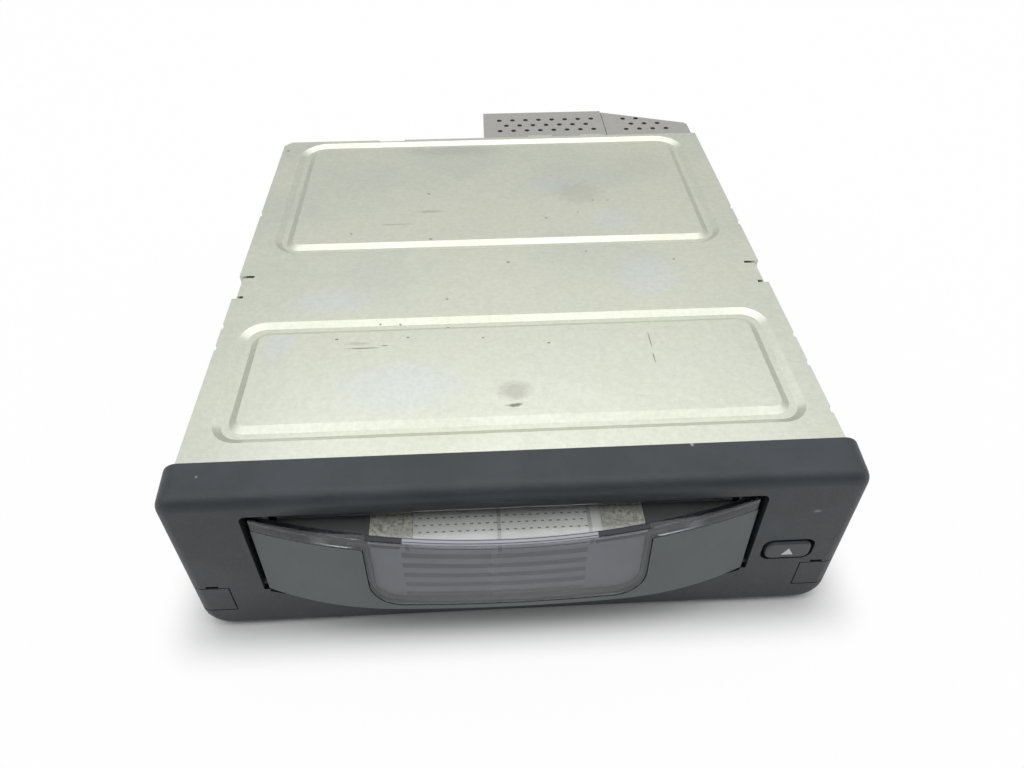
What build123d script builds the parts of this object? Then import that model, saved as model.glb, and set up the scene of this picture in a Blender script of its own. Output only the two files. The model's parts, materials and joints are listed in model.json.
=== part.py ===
from build123d import *
import math
import os

os.makedirs("parts", exist_ok=True)

# In-dash disc changer that fills one radio slot. Millimetres. X runs to the right, Y to
# the back and Z up. The pieces are laid out from the back plane of the trim plate
# (y = 0), its middle (x = 0) and its bottom edge (z = 0). The last section moves
# everything so that the origin is the middle of the overall box, at its bottom.

# --- trim plate -------------------------------------------------------------------------
TRIM_RISE = 1.5             # the trim stands this far above the cover
TRIM_T = 13.7
TRIM_TAPER = 1.0            # how much narrower the front is, on each side
TRIM_TOP_R = 5.0
TRIM_LOW_R = 8.5
TRIM_EDGE_R = 4.0           # rounding round the front face
TRIM_FACE = 2.6             # wall behind the front face
TRIM_WALL = 2.4

# --- door opening and door --------------------------------------------------------------
OPENING_PLAY = 5.3          # from the magazine's side to the opening's side
OPENING_LEFT = 21.7         # trim left of the opening
OPENING_RIGHT = 27.7        # trim right of it, where the button stands
OPENING_Z = 19.5
OPENING_TOP = 6.4           # trim above the opening
OPENING_R = 2.0
COLLAR_WALL = 1.8
SILL_T = 6.2                # thick face below the door, which holds the scoop
DOOR_SIDE_GAP = 1.6
DOOR_SILL_GAP = 0.3
LIP_TOP_GAP = 2.4
LIP_H = 4.6                 # clear band along the top of the door
BULGE_LOW = 9.4             # how far the door stands out of the trim, at its bottom edge
BULGE_TOP = 10.2            # and at its top edge
BULGE_HALF = 31.0           # half width of the flatter middle stretch
DROP_LOW = 0.8              # how far that stretch falls back at its ends, bottom edge
DROP_TOP = 2.3              # and top edge
END_SET_TOP = 1.0           # the top corners lie this far behind the trim's face
DOOR_WALL = 2.0
DOOR_END_WALL = 2.2
DOOR_DEPTH = 5.0            # the end walls reach this far behind the trim's face
RIM_WALL = 1.4
RIM_LAND = 1.2
RIM_BOND = 4.0
HINGE_SET = 2.2             # hinge axis behind the trim's face
HINGE_RISE = 1.1            # and above the door's bottom edge
HINGE_BOSS_R = 2.2
PIN_R = 1.2
PIN_PLAY = 0.05
SWING_CLEAR = 0.6

# --- smoked window ----------------------------------------------------------------------
WINDOW_HALF = 37.6
WINDOW_STRIP = 2.0          # strip of door left under the window
WINDOW_R = 8.5
LENS_GAP = 0.25
LENS_SEAT = 0.05

# --- white insert behind the window -----------------------------------------------------
INSERT_SET = 1.5            # from the window's inner face to the ribbed plate
INSERT_WALL = 1.6
INSERT_HALF = 36.0
INSERT_TOP_T = 1.6
INSERT_TOP_DROP = 2.8       # top plate below the lip's top edge
INSERT_BACK = 3.0           # top plate ends this far behind the trim's face
RIB_PITCH = 4.4
RIB_SLOT = 2.0
RIB_COUNT = 5
RIB_FIRST_RISE = 2.0        # first slot above the window's bottom edge
RIB_HALF = 26.6
RIB_X = -6.6                # middle of the ribbed field
RIB_BAR = 2.2
STRIP_W = 11.0
STRIP_T = 0.8

# --- eject button -----------------------------------------------------------------------
BUTTON_INSET = 17.3         # its middle from the trim's right side
BUTTON_Z = 27.6
BUTTON_W = 13.0
BUTTON_H = 7.0
BUTTON_R = 2.5
BUTTON_PROUD = 0.6
BUTTON_GAP = 1.0
BUTTON_FLANGE = 0.7
BUTTON_FLANGE_T = 1.0
BUTTON_TRAVEL = 1.0
STEM_R = 1.6
MARK_W = 3.4
MARK_H = 2.9
MARK_T = 0.4
MARK_GAP = 0.02
SWITCH_SIZE = 6.0
SWITCH_T = 2.6
PLUNGER_R = 1.2
PLUNGER_H = 1.0
BOARD_T = 1.6

# --- corner covers ----------------------------------------------------------------------
CORNER_W = 12.1
CORNER_Z = 9.4
CORNER_H = 11.4
CORNER_WALL = 2.2
CORNER_DEPTH = 10.7
CORNER_GAP = 0.35
POCKET_WALL = 1.2
PRY_W = 3.5
PRY_H = 0.9
PRY_INSET = 7.4
KEY_SLOT_W = 3.0
KEY_SLOT_H = 7.0

# --- trim screws and the small front board ----------------------------------------------
TRIM_SCREW_TOP = (10.0, 6.2)      # in from the trim's side and down from its top
TRIM_SCREW_LOW = (18.0, 9.4)      # in from its side and up from its bottom
TRIM_SCREW_L = 7.5
TRIM_BOSS_R = 2.8
TRIM_SCREW_R = 1.2
SCREW_FIT = 0.02
FRONT_POST_PLACES = ((-3.7, 45.0), (9.3, 45.0))   # from the button's middle, and height
FRONT_POST_R = 2.0
FRONT_BOARD_Z = (23.6, 49.0)
FRONT_BOARD_SIDES = (-7.6, 12.4)                  # from the button's middle
FRONT_BOARD_Y = -2.6

# --- sheet metal case -------------------------------------------------------------------
COVER_STEP = 3.6            # the trim stands out this far on each side
MAG_ROOM = 6.3              # from the magazine to the top of the cover
COVER_T = 0.8
COVER_Y0 = 0.3
COVER_Y1 = 187.1
SKIRT_H = 12.0
COVER_CORNER = 3.0          # cut corner at the back left
SHEET = 1.0
CASE_GAP = 0.2              # between the cover's skirt and the side walls
CASE_TOP_GAP = 0.1
FOOT_R = 7.0
FOOT_H = 1.5
FOOT_INSET = 21.4
FOOT_Y = (26.0, 164.0)
BEAD_W = 6.4                # pressed grooves in the cover
BEAD_DEPTH = 1.2
BEAD_SLOPE = 62.0
BEAD_INSET = (6.5, 8.4)     # front and rear grooves in from the cover's sides
BEAD_Y = ((8.0, 60.4), (99.0, 185.0))
BEAD_R = (8.0, 11.0)
BEAD_INNER_R = 3.0
CLIP_Y = (74.4, 86.0)
CLIP_IN = 1.6
CLIP_SLOT_W = 1.2
CLIP_SLOT_L = (2.0, 3.6)
NICK_L = 2.4
NICK_IN = 0.5
NICK_Y_LEFT = (47.5, 58.0, 126.0)
NICK_Y_RIGHT = (11.0, 31.0, 44.5, 110.7, 122.0)
BACK_NOTCH_X = (-49.5, -38.5)
BACK_NOTCH_IN = 1.0
SIDE_HOLE_R = 2.1
SIDE_HOLE_Y = (42.0, 142.0)
SIDE_HOLE_Z = 24.0
COVER_SCREW_Y = (34.0, 158.0)
COVER_SCREW_DROP = 8.3
COVER_SCREW_R = 1.4
REAR_TABS = ((19.2, 29.9), (42.4, 52.6))          # from the rear housing's left side
REAR_TAB_OUT = 1.3          # the two tabs that reach back over the rear housing

# --- rear housing -----------------------------------------------------------------------
REAR_W = 92.8
REAR_SHIELD_W = 38.2
REAR_GAP = 0.4
REAR_Y1 = 213.8
REAR_SIDE_Y = 199.0         # where the slanted rear wall meets the right side
REAR_SLANT_IN = 1.2
REAR_SLANT_Y = 200.4
REAR_Z0 = 13.0
REAR_STEP = 0.4
VENT_R = 1.15
VENT_PITCH = 6.05
VENT_Y = (206.0, 200.6, 195.3)
VENT_IN = 7.2
VENT_END = 4.5              # least sheet past the last vent of a row
VENT2_IN = 9.8
VENT2_COUNT = (2, 3, 4)

WIRE_HOLE_X = (8.0, 40.0)   # hole in the rear plate for the wires
WIRE_HOLE_Z = (15.0, 21.0)

# --- rear socket ------------------------------------------------------------------------
SOCKET_SHIFT = -0.9         # its middle from the rear housing's middle
SOCKET_Z = 31.0
SOCKET_W = 34.0
SOCKET_H = 14.0
SOCKET_DEPTH = 11.0
SOCKET_WALL = 1.6
SOCKET_FLOOR = 3.0
CONTACT_OUT = 4.0           # contacts stand this far out of the socket's floor
CONTACT_TAIL = 2.0
REAR_BOARD_H = 36.0
CONTACTS = 8
CONTACT_PITCH = 3.4
CONTACT_SIZE = 0.7

# --- disc magazine ----------------------------------------------------------------------
MAG_SIDE = 4.0              # from the disc's edge to the magazine's side
MAG_Z0 = 27.0
MAG_Y0 = -8.0
MAG_Y1 = 112.0
MAG_FACE = 1.2
MAG_WALL = 1.2
MAG_SKIN = 1.0
TRAYS = 6
TRAY_PITCH = 3.7
TRAY_T = 2.6
TRAY_CLEAR = 0.3
TRAY_SIDE_CLEAR = 0.6
LEDGE_T = 0.5
LEDGE_IN = 2.9
TRAY_FLOOR = 1.2
TRAY_Y1 = 101.0
TRAY_ARM = 15.6
TRAY_CUT_Y = 42.3
DISC_Y = 55.0
DISC_R = 60.0
DISC_PLAY = 0.5
MAG_TRAVEL = 17.0
GRIP_W = 52.0
GRIP_PITCH = 4.4
GRIP_T = 0.8

# --- guide rails ------------------------------------------------------------------------
RAIL_T = 1.2
RAIL_PLAY = 0.8
RAIL_LEDGE = 6.0
RAIL_Y0 = 2.0
RAIL_LIFT_GAP = 0.3

# --- playing deck -----------------------------------------------------------------------
SPINDLE_Y = 124.8
LIFT = 25.0
DISC_PLANE = 25.0
TABLE_R = 9.4
TABLE_T = 2.7
HUB_R = 7.4
HUB_H = 2.0
SPINDLE_R = 1.0
SPINDLE_PLAY = 0.03
MOTOR_R = 9.4
MOTOR_H = 7.3
DECK_HALF = 44.0
DECK_Z = 13.0
DECK_T = 1.2
DECK_Y0 = 113.0
DECK_Y1 = 184.0
CARRIAGE_Z = 9.0
CARRIAGE_T = 1.2
CARRIAGE_BAR_Y = 172.0
CARRIAGE_FLANGE_GAP = 1.0
CARRIAGE_GAP = 3.0          # between a tray's arm and the carriage's arm
CARRIAGE_ARM_Y = 121.0
DAMPER_R = 4.0
DAMPER_IN = 6.0
LIFT_PIN_R = 1.5
LIFT_PIN_Z = 14.0
LIFT_PIN_Y = (126.0, 152.0)
PIN_SLOT_PLAY = 0.15
ROD_R = 1.5
ROD_X = 18.0
ROD_Z = 18.0
SLED_HALF = 21.5
SLED_Z0 = 15.4
SLED_Z1 = 22.0
SLED_L = 16.5
LENS_R = 3.4
PLAY_R0 = 24.0
SLED_TRAVEL = 30.0
SCREW_X = 30.0
SCREW_R = 1.5
SCREW_Z = 18.6
STEPPER_R = 4.2
STEPPER_L = 12.0
CLAMP_R = 11.5
CLAMP_T = 2.3
CLAMP_NECK_R = 4.0
CLAMP_PLAY = 0.6

# --- lift slide, frames and drive -------------------------------------------------------
CAM_INSET = 11.0            # from the side wall
CAM_T = 1.0
CAM_Z0 = 3.2
CAM_DROP = 11.45            # its top edge below the cover's top
CAM_Y0 = 121.0
CAM_Y1 = 184.4
CAM_BRIDGE_Y = (140.0, 176.0)
FRAME_INSET = 8.4
BRIDGE_STEP = 24.0          # the clamp bridge bends this far beside the slide
FRAME_Y0 = 112.0
FRAME_Y1 = 184.6
STUD_R = 1.4
STUD_Y = (128.0, 157.0)
STUD_DROP = 2.85            # below the slide's top edge
RACK_MODULE = 0.6
PINION_TEETH = 12
WHEEL_MODULE = 0.5
WHEEL_TEETH = 18
MOTOR_TEETH = 9
GEAR_Y = 127.5
GEAR_PIN_R = 1.0
GEAR_PLAY = 0.05
DRIVE_R = 5.0
DRIVE_L = 10.4

# --- main board -------------------------------------------------------------------------
BOARD_X = (-60.0, 56.0)
BOARD_Y = (8.0, 104.0)
BOARD_LIFT = 2.5
CHIPS = (                   # x, y, width, depth, height
    (-35.0, 40.0, 18.0, 18.0, 2.2),
    (-2.0, 62.0, 14.0, 14.0, 1.8),
    (26.0, 30.0, 12.0, 20.0, 2.6),
)
CAPACITORS = (              # x, y, radius, height
    (-50.0, 78.0, 4.0, 9.0),
    (-50.0, 90.0, 4.0, 9.0),
    (40.0, 62.0, 5.0, 12.0),
    (40.0, 76.0, 3.2, 7.0),
)

# --- worked out from the sizes above ----------------------------------------------------
MAG_HALF = DISC_R + MAG_SIDE
TRAY_Z = MAG_Z0 + MAG_SKIN + TRAY_CLEAR
MAG_Z1 = TRAY_Z + (TRAYS - 1) * TRAY_PITCH + TRAY_T + 2 * TRAY_CLEAR + MAG_SKIN
COVER_TOP = MAG_Z1 + MAG_ROOM
TRIM_H = COVER_TOP + TRIM_RISE
OPENING_H = TRIM_H - OPENING_TOP - OPENING_Z
OPENING_W = 2 * (MAG_HALF + OPENING_PLAY)
DOOR_X = (OPENING_LEFT - OPENING_RIGHT) / 2       # middle of the opening
TRIM_W = OPENING_LEFT + OPENING_W + OPENING_RIGHT
TRIM_HALF = TRIM_W / 2
COVER_W = TRIM_W - 2 * COVER_STEP
BUTTON_X = TRIM_HALF - BUTTON_INSET
CORNER_X = TRIM_HALF - CORNER_W
PRY_X = TRIM_HALF - PRY_INSET
TRIM_SCREW_PLACES = ((TRIM_SCREW_TOP[0], TRIM_H - TRIM_SCREW_TOP[1]), TRIM_SCREW_LOW)
TRIM_SCREWS = [(side * (TRIM_HALF - x), z) for side in (-1, 1) for x, z in TRIM_SCREW_PLACES]
FRONT_POSTS = [(BUTTON_X + x, z) for x, z in FRONT_POST_PLACES]
FRONT_BOARD_X = [BUTTON_X + x for x in FRONT_BOARD_SIDES]
BEAD_HALF_X = [COVER_W / 2 - x for x in BEAD_INSET]
FACE_Y = -TRIM_T
DOOR_HALF = OPENING_W / 2 - DOOR_SIDE_GAP
DOOR_Z0 = OPENING_Z + DOOR_SILL_GAP
DOOR_Z1 = OPENING_Z + OPENING_H - LIP_TOP_GAP
WING_Z1 = DOOR_Z1 - LIP_H
DOOR_BACK = FACE_Y + DOOR_DEPTH
HINGE_Y = FACE_Y + HINGE_SET
HINGE_Z = DOOR_Z0 + HINGE_RISE
WINDOW_Z0 = DOOR_Z0 + WINDOW_STRIP
BASE_Z = FOOT_H
FLOOR_Z = BASE_Z + SHEET
CASE_Z1 = COVER_TOP - COVER_T - CASE_TOP_GAP
CASE_HALF = COVER_W / 2 - COVER_T - CASE_GAP
CASE_Y1 = COVER_Y1 - COVER_T - CASE_TOP_GAP
FOOT_X = CASE_HALF - FOOT_INSET
REAR_X0 = CASE_HALF - REAR_W
REAR_SEAM = CASE_HALF - REAR_SHIELD_W
REAR_SLANT = (CASE_HALF - REAR_SLANT_IN, REAR_SLANT_Y)
REAR_TABS_X = [(REAR_X0 + x0, REAR_X0 + x1) for x0, x1 in REAR_TABS]
VENT_X = REAR_X0 + VENT_IN
VENT2_X = REAR_SEAM + VENT2_IN
SOCKET_X = (REAR_X0 + REAR_SEAM) / 2 + SOCKET_SHIFT
VENT_ROW = REAR_SEAM - VENT_END - VENT_X
VENT_COUNT = [int((VENT_ROW - start) / VENT_PITCH) + 1 for start in (0, VENT_PITCH / 2, 0)]
COVER_SCREW_Z = COVER_TOP - COVER_SCREW_DROP
CAM_TOP = COVER_TOP - CAM_DROP
STUD_Z = CAM_TOP - STUD_DROP
CAM_X = CASE_HALF - CAM_INSET
FRAME_X = CASE_HALF - FRAME_INSET
CARRIAGE_FLANGE_X = CAM_X - CARRIAGE_FLANGE_GAP
ROOF_Z = COVER_TOP - COVER_T - BEAD_DEPTH - 0.2   # free height under the pressed grooves
INSIDE = CASE_HALF - SHEET
TRAY_HALF = MAG_HALF - MAG_WALL - TRAY_SIDE_CLEAR
TRAY_Y0 = MAG_Y0 + MAG_FACE + TRAY_CLEAR
TRAY_TRAVEL = SPINDLE_Y - DISC_Y
RACK_Z = CAM_TOP + 1.2 * RACK_MODULE
PINION_R = RACK_MODULE * PINION_TEETH / 2
WHEEL_R = WHEEL_MODULE * WHEEL_TEETH / 2
MOTOR_PITCH_R = WHEEL_MODULE * MOTOR_TEETH / 2
GEAR_Z = RACK_Z + PINION_R
DRIVE_Y = GEAR_Y - WHEEL_R - MOTOR_PITCH_R - 0.05


# --- shapes used by more than one piece -------------------------------------------------
def block(x0, x1, y0, y1, z0, z1):
    """A box from its low to its high corner."""
    middle = Pos((x0 + x1) / 2, (y0 + y1) / 2, (z0 + z1) / 2)
    return middle * Box(x1 - x0, y1 - y0, z1 - z0)


def rod_x(x0, x1, y, z, radius):
    return Pos((x0 + x1) / 2, y, z) * Rot(0, 90, 0) * Cylinder(radius, x1 - x0)


def rod_y(y0, y1, x, z, radius):
    return Pos(x, (y0 + y1) / 2, z) * Rot(90, 0, 0) * Cylinder(radius, y1 - y0)


def rod_z(z0, z1, x, y, radius):
    return Pos(x, y, (z0 + z1) / 2) * Cylinder(radius, z1 - z0)


def face_plate(x, z, width, height, radius, y0, y1):
    """A plate with rounded corners that faces the front, from y0 back to y1."""
    outline = RectangleRounded(width, height, radius)
    return extrude(Plane.XZ.offset(-y1) * Pos(x, z) * outline, y1 - y0)


def upright(points, y0, y1):
    """A prism along Y over points given as (x, z)."""
    return extrude(Plane.XZ.offset(-y1) * make_face(Polyline(*points, close=True)), y1 - y0)


def side_plate(points, x0, x1):
    """A prism along X over points given as (y, z)."""
    return extrude(Plane.YZ.offset(x0) * make_face(Polyline(*points, close=True)), x1 - x0)


def slot_x(x0, x1, start, end, radius):
    """A slot with round ends through a wall that faces X; start and end are (y, z)."""
    run = block(x0, x1, 0, math.dist(start, end), -radius, radius)
    turn = math.degrees(math.atan2(end[1] - start[1], end[0] - start[0]))
    run = Pos(0, start[0], start[1]) * Rot(turn, 0, 0) * run
    return run + rod_x(x0, x1, *start, radius) + rod_x(x0, x1, *end, radius)


def joined(shapes):
    """All the shapes fused to one."""
    first, *rest = list(shapes)
    return first.fuse(*rest) if rest else first


def gear_face(teeth, module, first_angle, slack=0.16):
    """Flat outline of a spur gear with straight-sided teeth."""
    pitch_r = module * teeth / 2
    tip_r = pitch_r + 0.8 * module
    root_r = pitch_r - 1.15 * module
    half = math.pi * module / 4 - slack / 2
    slope = math.tan(math.radians(20))
    tip_half = (half - 0.8 * module * slope) / tip_r
    root_half = (half + 1.15 * module * slope) / root_r
    points = []
    for tooth in range(teeth):
        middle = math.radians(first_angle) + 2 * math.pi * tooth / teeth
        for radius, offset in (
            (root_r, -root_half),
            (tip_r, -tip_half),
            (tip_r, tip_half),
            (root_r, root_half),
        ):
            angle = middle + offset
            points.append((radius * math.cos(angle), radius * math.sin(angle)))
    return make_face(Polyline(*points, close=True))


def gear_x(x0, x1, y, z, teeth, module, first_angle):
    """A spur gear on an axis along X."""
    flat = Plane.YZ.offset(x0) * Pos(y, z) * gear_face(teeth, module, first_angle)
    return extrude(flat, x1 - x0)


# --- trim plate -------------------------------------------------------------------------
def trim_outline(y, width):
    low = -TRIM_H / 2
    shape = Rectangle(width, TRIM_H)
    top = [v for v in shape.vertices() if v.Y > low + 1]
    bottom = [v for v in shape.vertices() if v.Y < low + 1]
    shape = fillet(top, TRIM_TOP_R)
    bottom = [v for v in shape.vertices() if v.Y < low + 0.01]
    shape = fillet(bottom, TRIM_LOW_R)
    return Plane.XZ.offset(-y) * Pos(0, TRIM_H / 2) * shape


def trim_body():
    """The outer form: a tapered block with its front edges rounded."""
    back = trim_outline(0, TRIM_W)
    front = trim_outline(FACE_Y, TRIM_W - 2 * TRIM_TAPER)
    solid = loft([back.face(), front.face()], ruled=True)
    rim = solid.edges().filter_by(lambda e: abs(e.center().Y - FACE_Y) < 0.01)
    return fillet(rim, TRIM_EDGE_R)


def trim_hollow():
    width = TRIM_W - 2 * TRIM_TAPER - 2 * TRIM_WALL
    height = TRIM_H - 2 * TRIM_WALL
    back = FACE_Y + TRIM_FACE
    return face_plate(0, TRIM_H / 2, width, height, TRIM_TOP_R, back, 1)


def corner_block(side, grow, depth):
    x0 = CORNER_X - grow
    x1 = TRIM_W / 2 + 1
    z0 = CORNER_Z - grow
    z1 = CORNER_Z + CORNER_H + grow
    low, high = sorted((side * x0, side * x1))
    return block(low, high, FACE_Y - 1, FACE_Y + depth, z0, z1)


def scoop():
    """The hollow under the door that its bulge swings into."""
    low = HINGE_Z - HINGE_SET - SWING_CLEAR
    half = DOOR_HALF
    middle = ThreePointArc(
        (DOOR_X - BULGE_HALF, low - BULGE_LOW + DROP_LOW),
        (DOOR_X, low - BULGE_LOW),
        (DOOR_X + BULGE_HALF, low - BULGE_LOW + DROP_LOW),
    )
    right = TangentArc(middle @ 1, (DOOR_X + half, low), tangent=middle % 1)
    left = TangentArc(middle @ 0, (DOOR_X - half, low), tangent=-(middle % 0))
    top = Polyline(
        (DOOR_X + half, low),
        (DOOR_X + half, OPENING_Z + 1),
        (DOOR_X - half, OPENING_Z + 1),
        (DOOR_X - half, low),
    )
    flat = make_face(Curve() + [middle, right, left, top])
    depth = HINGE_SET + HINGE_RISE + SWING_CLEAR
    return extrude(Plane.XZ.offset(TRIM_T + 1) * flat, -(depth + 1))


def opening_prism(grow, y0, y1):
    middle_z = OPENING_Z + OPENING_H / 2
    width = OPENING_W + 2 * grow
    height = OPENING_H + 2 * grow
    return face_plate(DOOR_X, middle_z, width, height, OPENING_R + grow, y0, y1)


def front_trim():
    body = trim_body()
    face_back = FACE_Y + TRIM_FACE
    shell = body - trim_hollow()
    collar = opening_prism(COLLAR_WALL, face_back - 1, -0.4)
    sill_x = OPENING_W / 2 + COLLAR_WALL
    sill = block(DOOR_X - sill_x, DOOR_X + sill_x, face_back - 1, FACE_Y + SILL_T, 1.0, OPENING_Z)
    pockets = [
        body & corner_block(side, POCKET_WALL, CORNER_DEPTH + POCKET_WALL) for side in (-1, 1)
    ]
    bosses = [rod_y(face_back - 1, 0, x, z, TRIM_BOSS_R) for x, z in TRIM_SCREWS]
    posts = [rod_y(face_back - 1, FRONT_BOARD_Y, x, z, FRONT_POST_R) for x, z in FRONT_POSTS]
    shell = joined([shell, collar, sill, *pockets, *bosses, *posts])
    shell -= opening_prism(0, FACE_Y - 1, 1)
    shell -= scoop()
    for side in (-1, 1):
        shell -= corner_block(side, 0, CORNER_DEPTH)
        pry_z = CORNER_Z + CORNER_H
        pry_x = side * PRY_X
        shell -= block(
            pry_x - PRY_W / 2, pry_x + PRY_W / 2, FACE_Y - 1, FACE_Y + 2, pry_z - 0.1, pry_z + PRY_H
        )
        key_z = CORNER_Z + CORNER_H / 2
        shell -= block(
            pry_x - KEY_SLOT_W / 2,
            pry_x + KEY_SLOT_W / 2,
            FACE_Y + CORNER_DEPTH - 1,
            1,
            key_z - KEY_SLOT_H / 2,
            key_z + KEY_SLOT_H / 2,
        )
        end = DOOR_X + side * (OPENING_W / 2)
        inner = end - side * (DOOR_END_WALL + 2 * DOOR_SIDE_GAP)
        shell -= rod_x(*sorted((inner, end)), HINGE_Y, HINGE_Z, HINGE_BOSS_R + 0.5)
        pin_end = end + side * (COLLAR_WALL + 1)
        shell -= rod_x(*sorted((end - side, pin_end)), HINGE_Y, HINGE_Z, PIN_R + SCREW_FIT)
    shell -= face_plate(
        BUTTON_X,
        BUTTON_Z,
        BUTTON_W + 2 * BUTTON_GAP,
        BUTTON_H + 2 * BUTTON_GAP,
        BUTTON_R + BUTTON_GAP / 2,
        FACE_Y - 1,
        face_back + 1,
    )
    for x, z in TRIM_SCREWS:
        shell -= rod_y(-TRIM_SCREW_L - 0.5, 1, x, z, TRIM_SCREW_R + SCREW_FIT)
    return shell


def trim_screws():
    head = SHEET + 1.6
    group = []
    for x, z in TRIM_SCREWS:
        group.append(rod_y(-TRIM_SCREW_L, SHEET + 0.1, x, z, TRIM_SCREW_R) + rod_y(SHEET, head, x, z, 2.4))
    return Compound(children=group)


def corner_cover(side):
    """A small snap-in cover that wraps the trim's lower corner."""
    outer = trim_body() & corner_block(side, -CORNER_GAP, CORNER_DEPTH - CORNER_GAP)
    x0 = CORNER_X + CORNER_WALL
    x1 = TRIM_W / 2 - TRIM_TAPER - CORNER_WALL
    low, high = sorted((side * x0, side * x1))
    hollow_z0 = CORNER_Z + CORNER_WALL
    hollow_z1 = CORNER_Z + CORNER_H - CORNER_WALL
    hollow = block(low, high, FACE_Y + CORNER_WALL, 0, hollow_z0, hollow_z1)
    return outer - hollow


# --- door -------------------------------------------------------------------------------
def bulge_outline(z, bulge, drop, end_set, inset):
    """Plan of the door's form at one height; inset moves its front curve back."""
    crown = FACE_Y - bulge + inset
    shoulder = crown + drop
    corner = FACE_Y + end_set + inset
    middle = ThreePointArc(
        (DOOR_X - BULGE_HALF, shoulder), (DOOR_X, crown), (DOOR_X + BULGE_HALF, shoulder)
    )
    right = TangentArc(middle @ 1, (DOOR_X + DOOR_HALF, corner), tangent=middle % 1)
    left = TangentArc(middle @ 0, (DOOR_X - DOOR_HALF, corner), tangent=-(middle % 0))
    back = Polyline(
        (DOOR_X + DOOR_HALF, corner),
        (DOOR_X + DOOR_HALF, 1),
        (DOOR_X - DOOR_HALF, 1),
        (DOOR_X - DOOR_HALF, corner),
    )
    return Pos(0, 0, z) * make_face(Curve() + [middle, right, left, back])


def bulge(inset):
    """The door's outer form, solid to behind its back plane."""
    low = bulge_outline(DOOR_Z0, BULGE_LOW, DROP_LOW, 0, inset)
    high = bulge_outline(DOOR_Z1, BULGE_TOP, DROP_TOP, END_SET_TOP, inset)
    return loft([low.face(), high.face()], ruled=True)


def window_prism(grow, z1):
    """A prism with the window's outline: rounded below, open above."""
    half = WINDOW_HALF + grow
    z0 = WINDOW_Z0 - grow
    radius = WINDOW_R + grow
    flat = Pos(DOOR_X, (z0 + z1) / 2) * Rectangle(2 * half, z1 - z0)
    corners = [v for v in flat.vertices() if v.Y < z0 + 0.01]
    flat = fillet(corners, radius)
    return extrude(Plane.XZ.offset(TRIM_T + 20) * flat, -(20 + DOOR_DEPTH))


def door_slice(z0, z1):
    """Everything between two heights in front of the door's back plane."""
    reach = OPENING_W
    return block(DOOR_X - reach, DOOR_X + reach, FACE_Y - 20, DOOR_BACK, z0, z1)


def door_panel():
    """The painted door: two wings, a strip under the window, a floor and end walls."""
    x0 = DOOR_X - DOOR_HALF + DOOR_END_WALL
    x1 = DOOR_X + DOOR_HALF - DOOR_END_WALL
    floor_top = DOOR_Z0 + WINDOW_STRIP - 0.2
    inside = block(x0, x1, FACE_Y - 20, FACE_Y + 20, floor_top, DOOR_Z1 + 1)
    shell = bulge(0) - (bulge(DOOR_WALL) & inside)
    shell &= door_slice(0, WING_Z1)
    shell -= window_prism(LENS_GAP, DOOR_Z1) & door_slice(floor_top, DOOR_Z1)
    rim = bulge(DOOR_WALL) - bulge(DOOR_WALL + RIM_WALL)
    rim &= window_prism(RIM_BOND, DOOR_Z1) - window_prism(-RIM_LAND, DOOR_Z1)
    rim &= door_slice(floor_top - 0.1, WING_Z1)
    shell = joined([shell, rim])
    for side in (-1, 1):
        end = DOOR_X + side * DOOR_HALF
        inner = end - side * DOOR_END_WALL
        shell += rod_x(*sorted((inner, end)), HINGE_Y, HINGE_Z, HINGE_BOSS_R)
    for side in (-1, 1):
        end = DOOR_X + side * DOOR_HALF
        inner = end - side * (DOOR_END_WALL + 3)
        shell -= rod_x(*sorted((inner, end + side)), HINGE_Y, HINGE_Z, PIN_R + PIN_PLAY)
    return shell


def door_lens():
    """One smoked moulding: the window and the band along the door's top edge."""
    skin = bulge(0) - bulge(DOOR_WALL - LENS_SEAT)
    window = skin & window_prism(0, DOOR_Z1 + 1)
    band = skin & door_slice(WING_Z1 + LENS_SEAT, DOOR_Z1 + 1)
    return joined([window, band])


def hinge_pins():
    group = []
    for side in (-1, 1):
        outer = DOOR_X + side * (OPENING_W / 2 + COLLAR_WALL + 0.5)
        inner = DOOR_X + side * (DOOR_HALF - DOOR_END_WALL - 0.4)
        group.append(rod_x(*sorted((outer, inner)), HINGE_Y, HINGE_Z, PIN_R))
    return Compound(children=group)


def insert_top():
    return DOOR_Z1 - INSERT_TOP_DROP


def door_insert():
    """White ribbed plate behind the window, with a top plate that runs back."""
    top = insert_top()
    x0 = DOOR_X - INSERT_HALF
    x1 = DOOR_X + INSERT_HALF
    front = bulge(DOOR_WALL + INSERT_SET) - bulge(DOOR_WALL + INSERT_SET + INSERT_WALL)
    front &= block(x0, x1, FACE_Y - 20, FACE_Y + 5, WINDOW_Z0 + 0.3, top)
    plate = block(x0, x1, FACE_Y - 20, FACE_Y + INSERT_BACK, top - INSERT_TOP_T, top)
    plate &= bulge(DOOR_WALL + 0.3)
    body = joined([front, plate])
    for number in range(RIB_COUNT):
        z = WINDOW_Z0 + RIB_FIRST_RISE + number * RIB_PITCH
        for side in (-1, 1):
            inner = RIB_X + side * RIB_BAR / 2
            outer = RIB_X + side * (RIB_HALF - RIB_BAR)
            low, high = sorted((inner, outer))
            body -= block(low, high, FACE_Y - 20, FACE_Y, z - RIB_SLOT / 2, z + RIB_SLOT / 2)
    return body


def insert_strips():
    """Two thin felt strips glued on the top plate, left and right of the dotted field."""
    top = insert_top()
    group = []
    for side in (-1, 1):
        outer = DOOR_X + side * (INSERT_HALF - 0.3)
        inner = DOOR_X + side * (INSERT_HALF - 0.3 - STRIP_W)
        low, high = sorted((outer, inner))
        strip = block(low, high, FACE_Y - 20, FACE_Y + INSERT_BACK - 0.5, top, top + STRIP_T)
        group.append(strip & bulge(DOOR_WALL + 0.6))
    return Compound(children=group)


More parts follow.
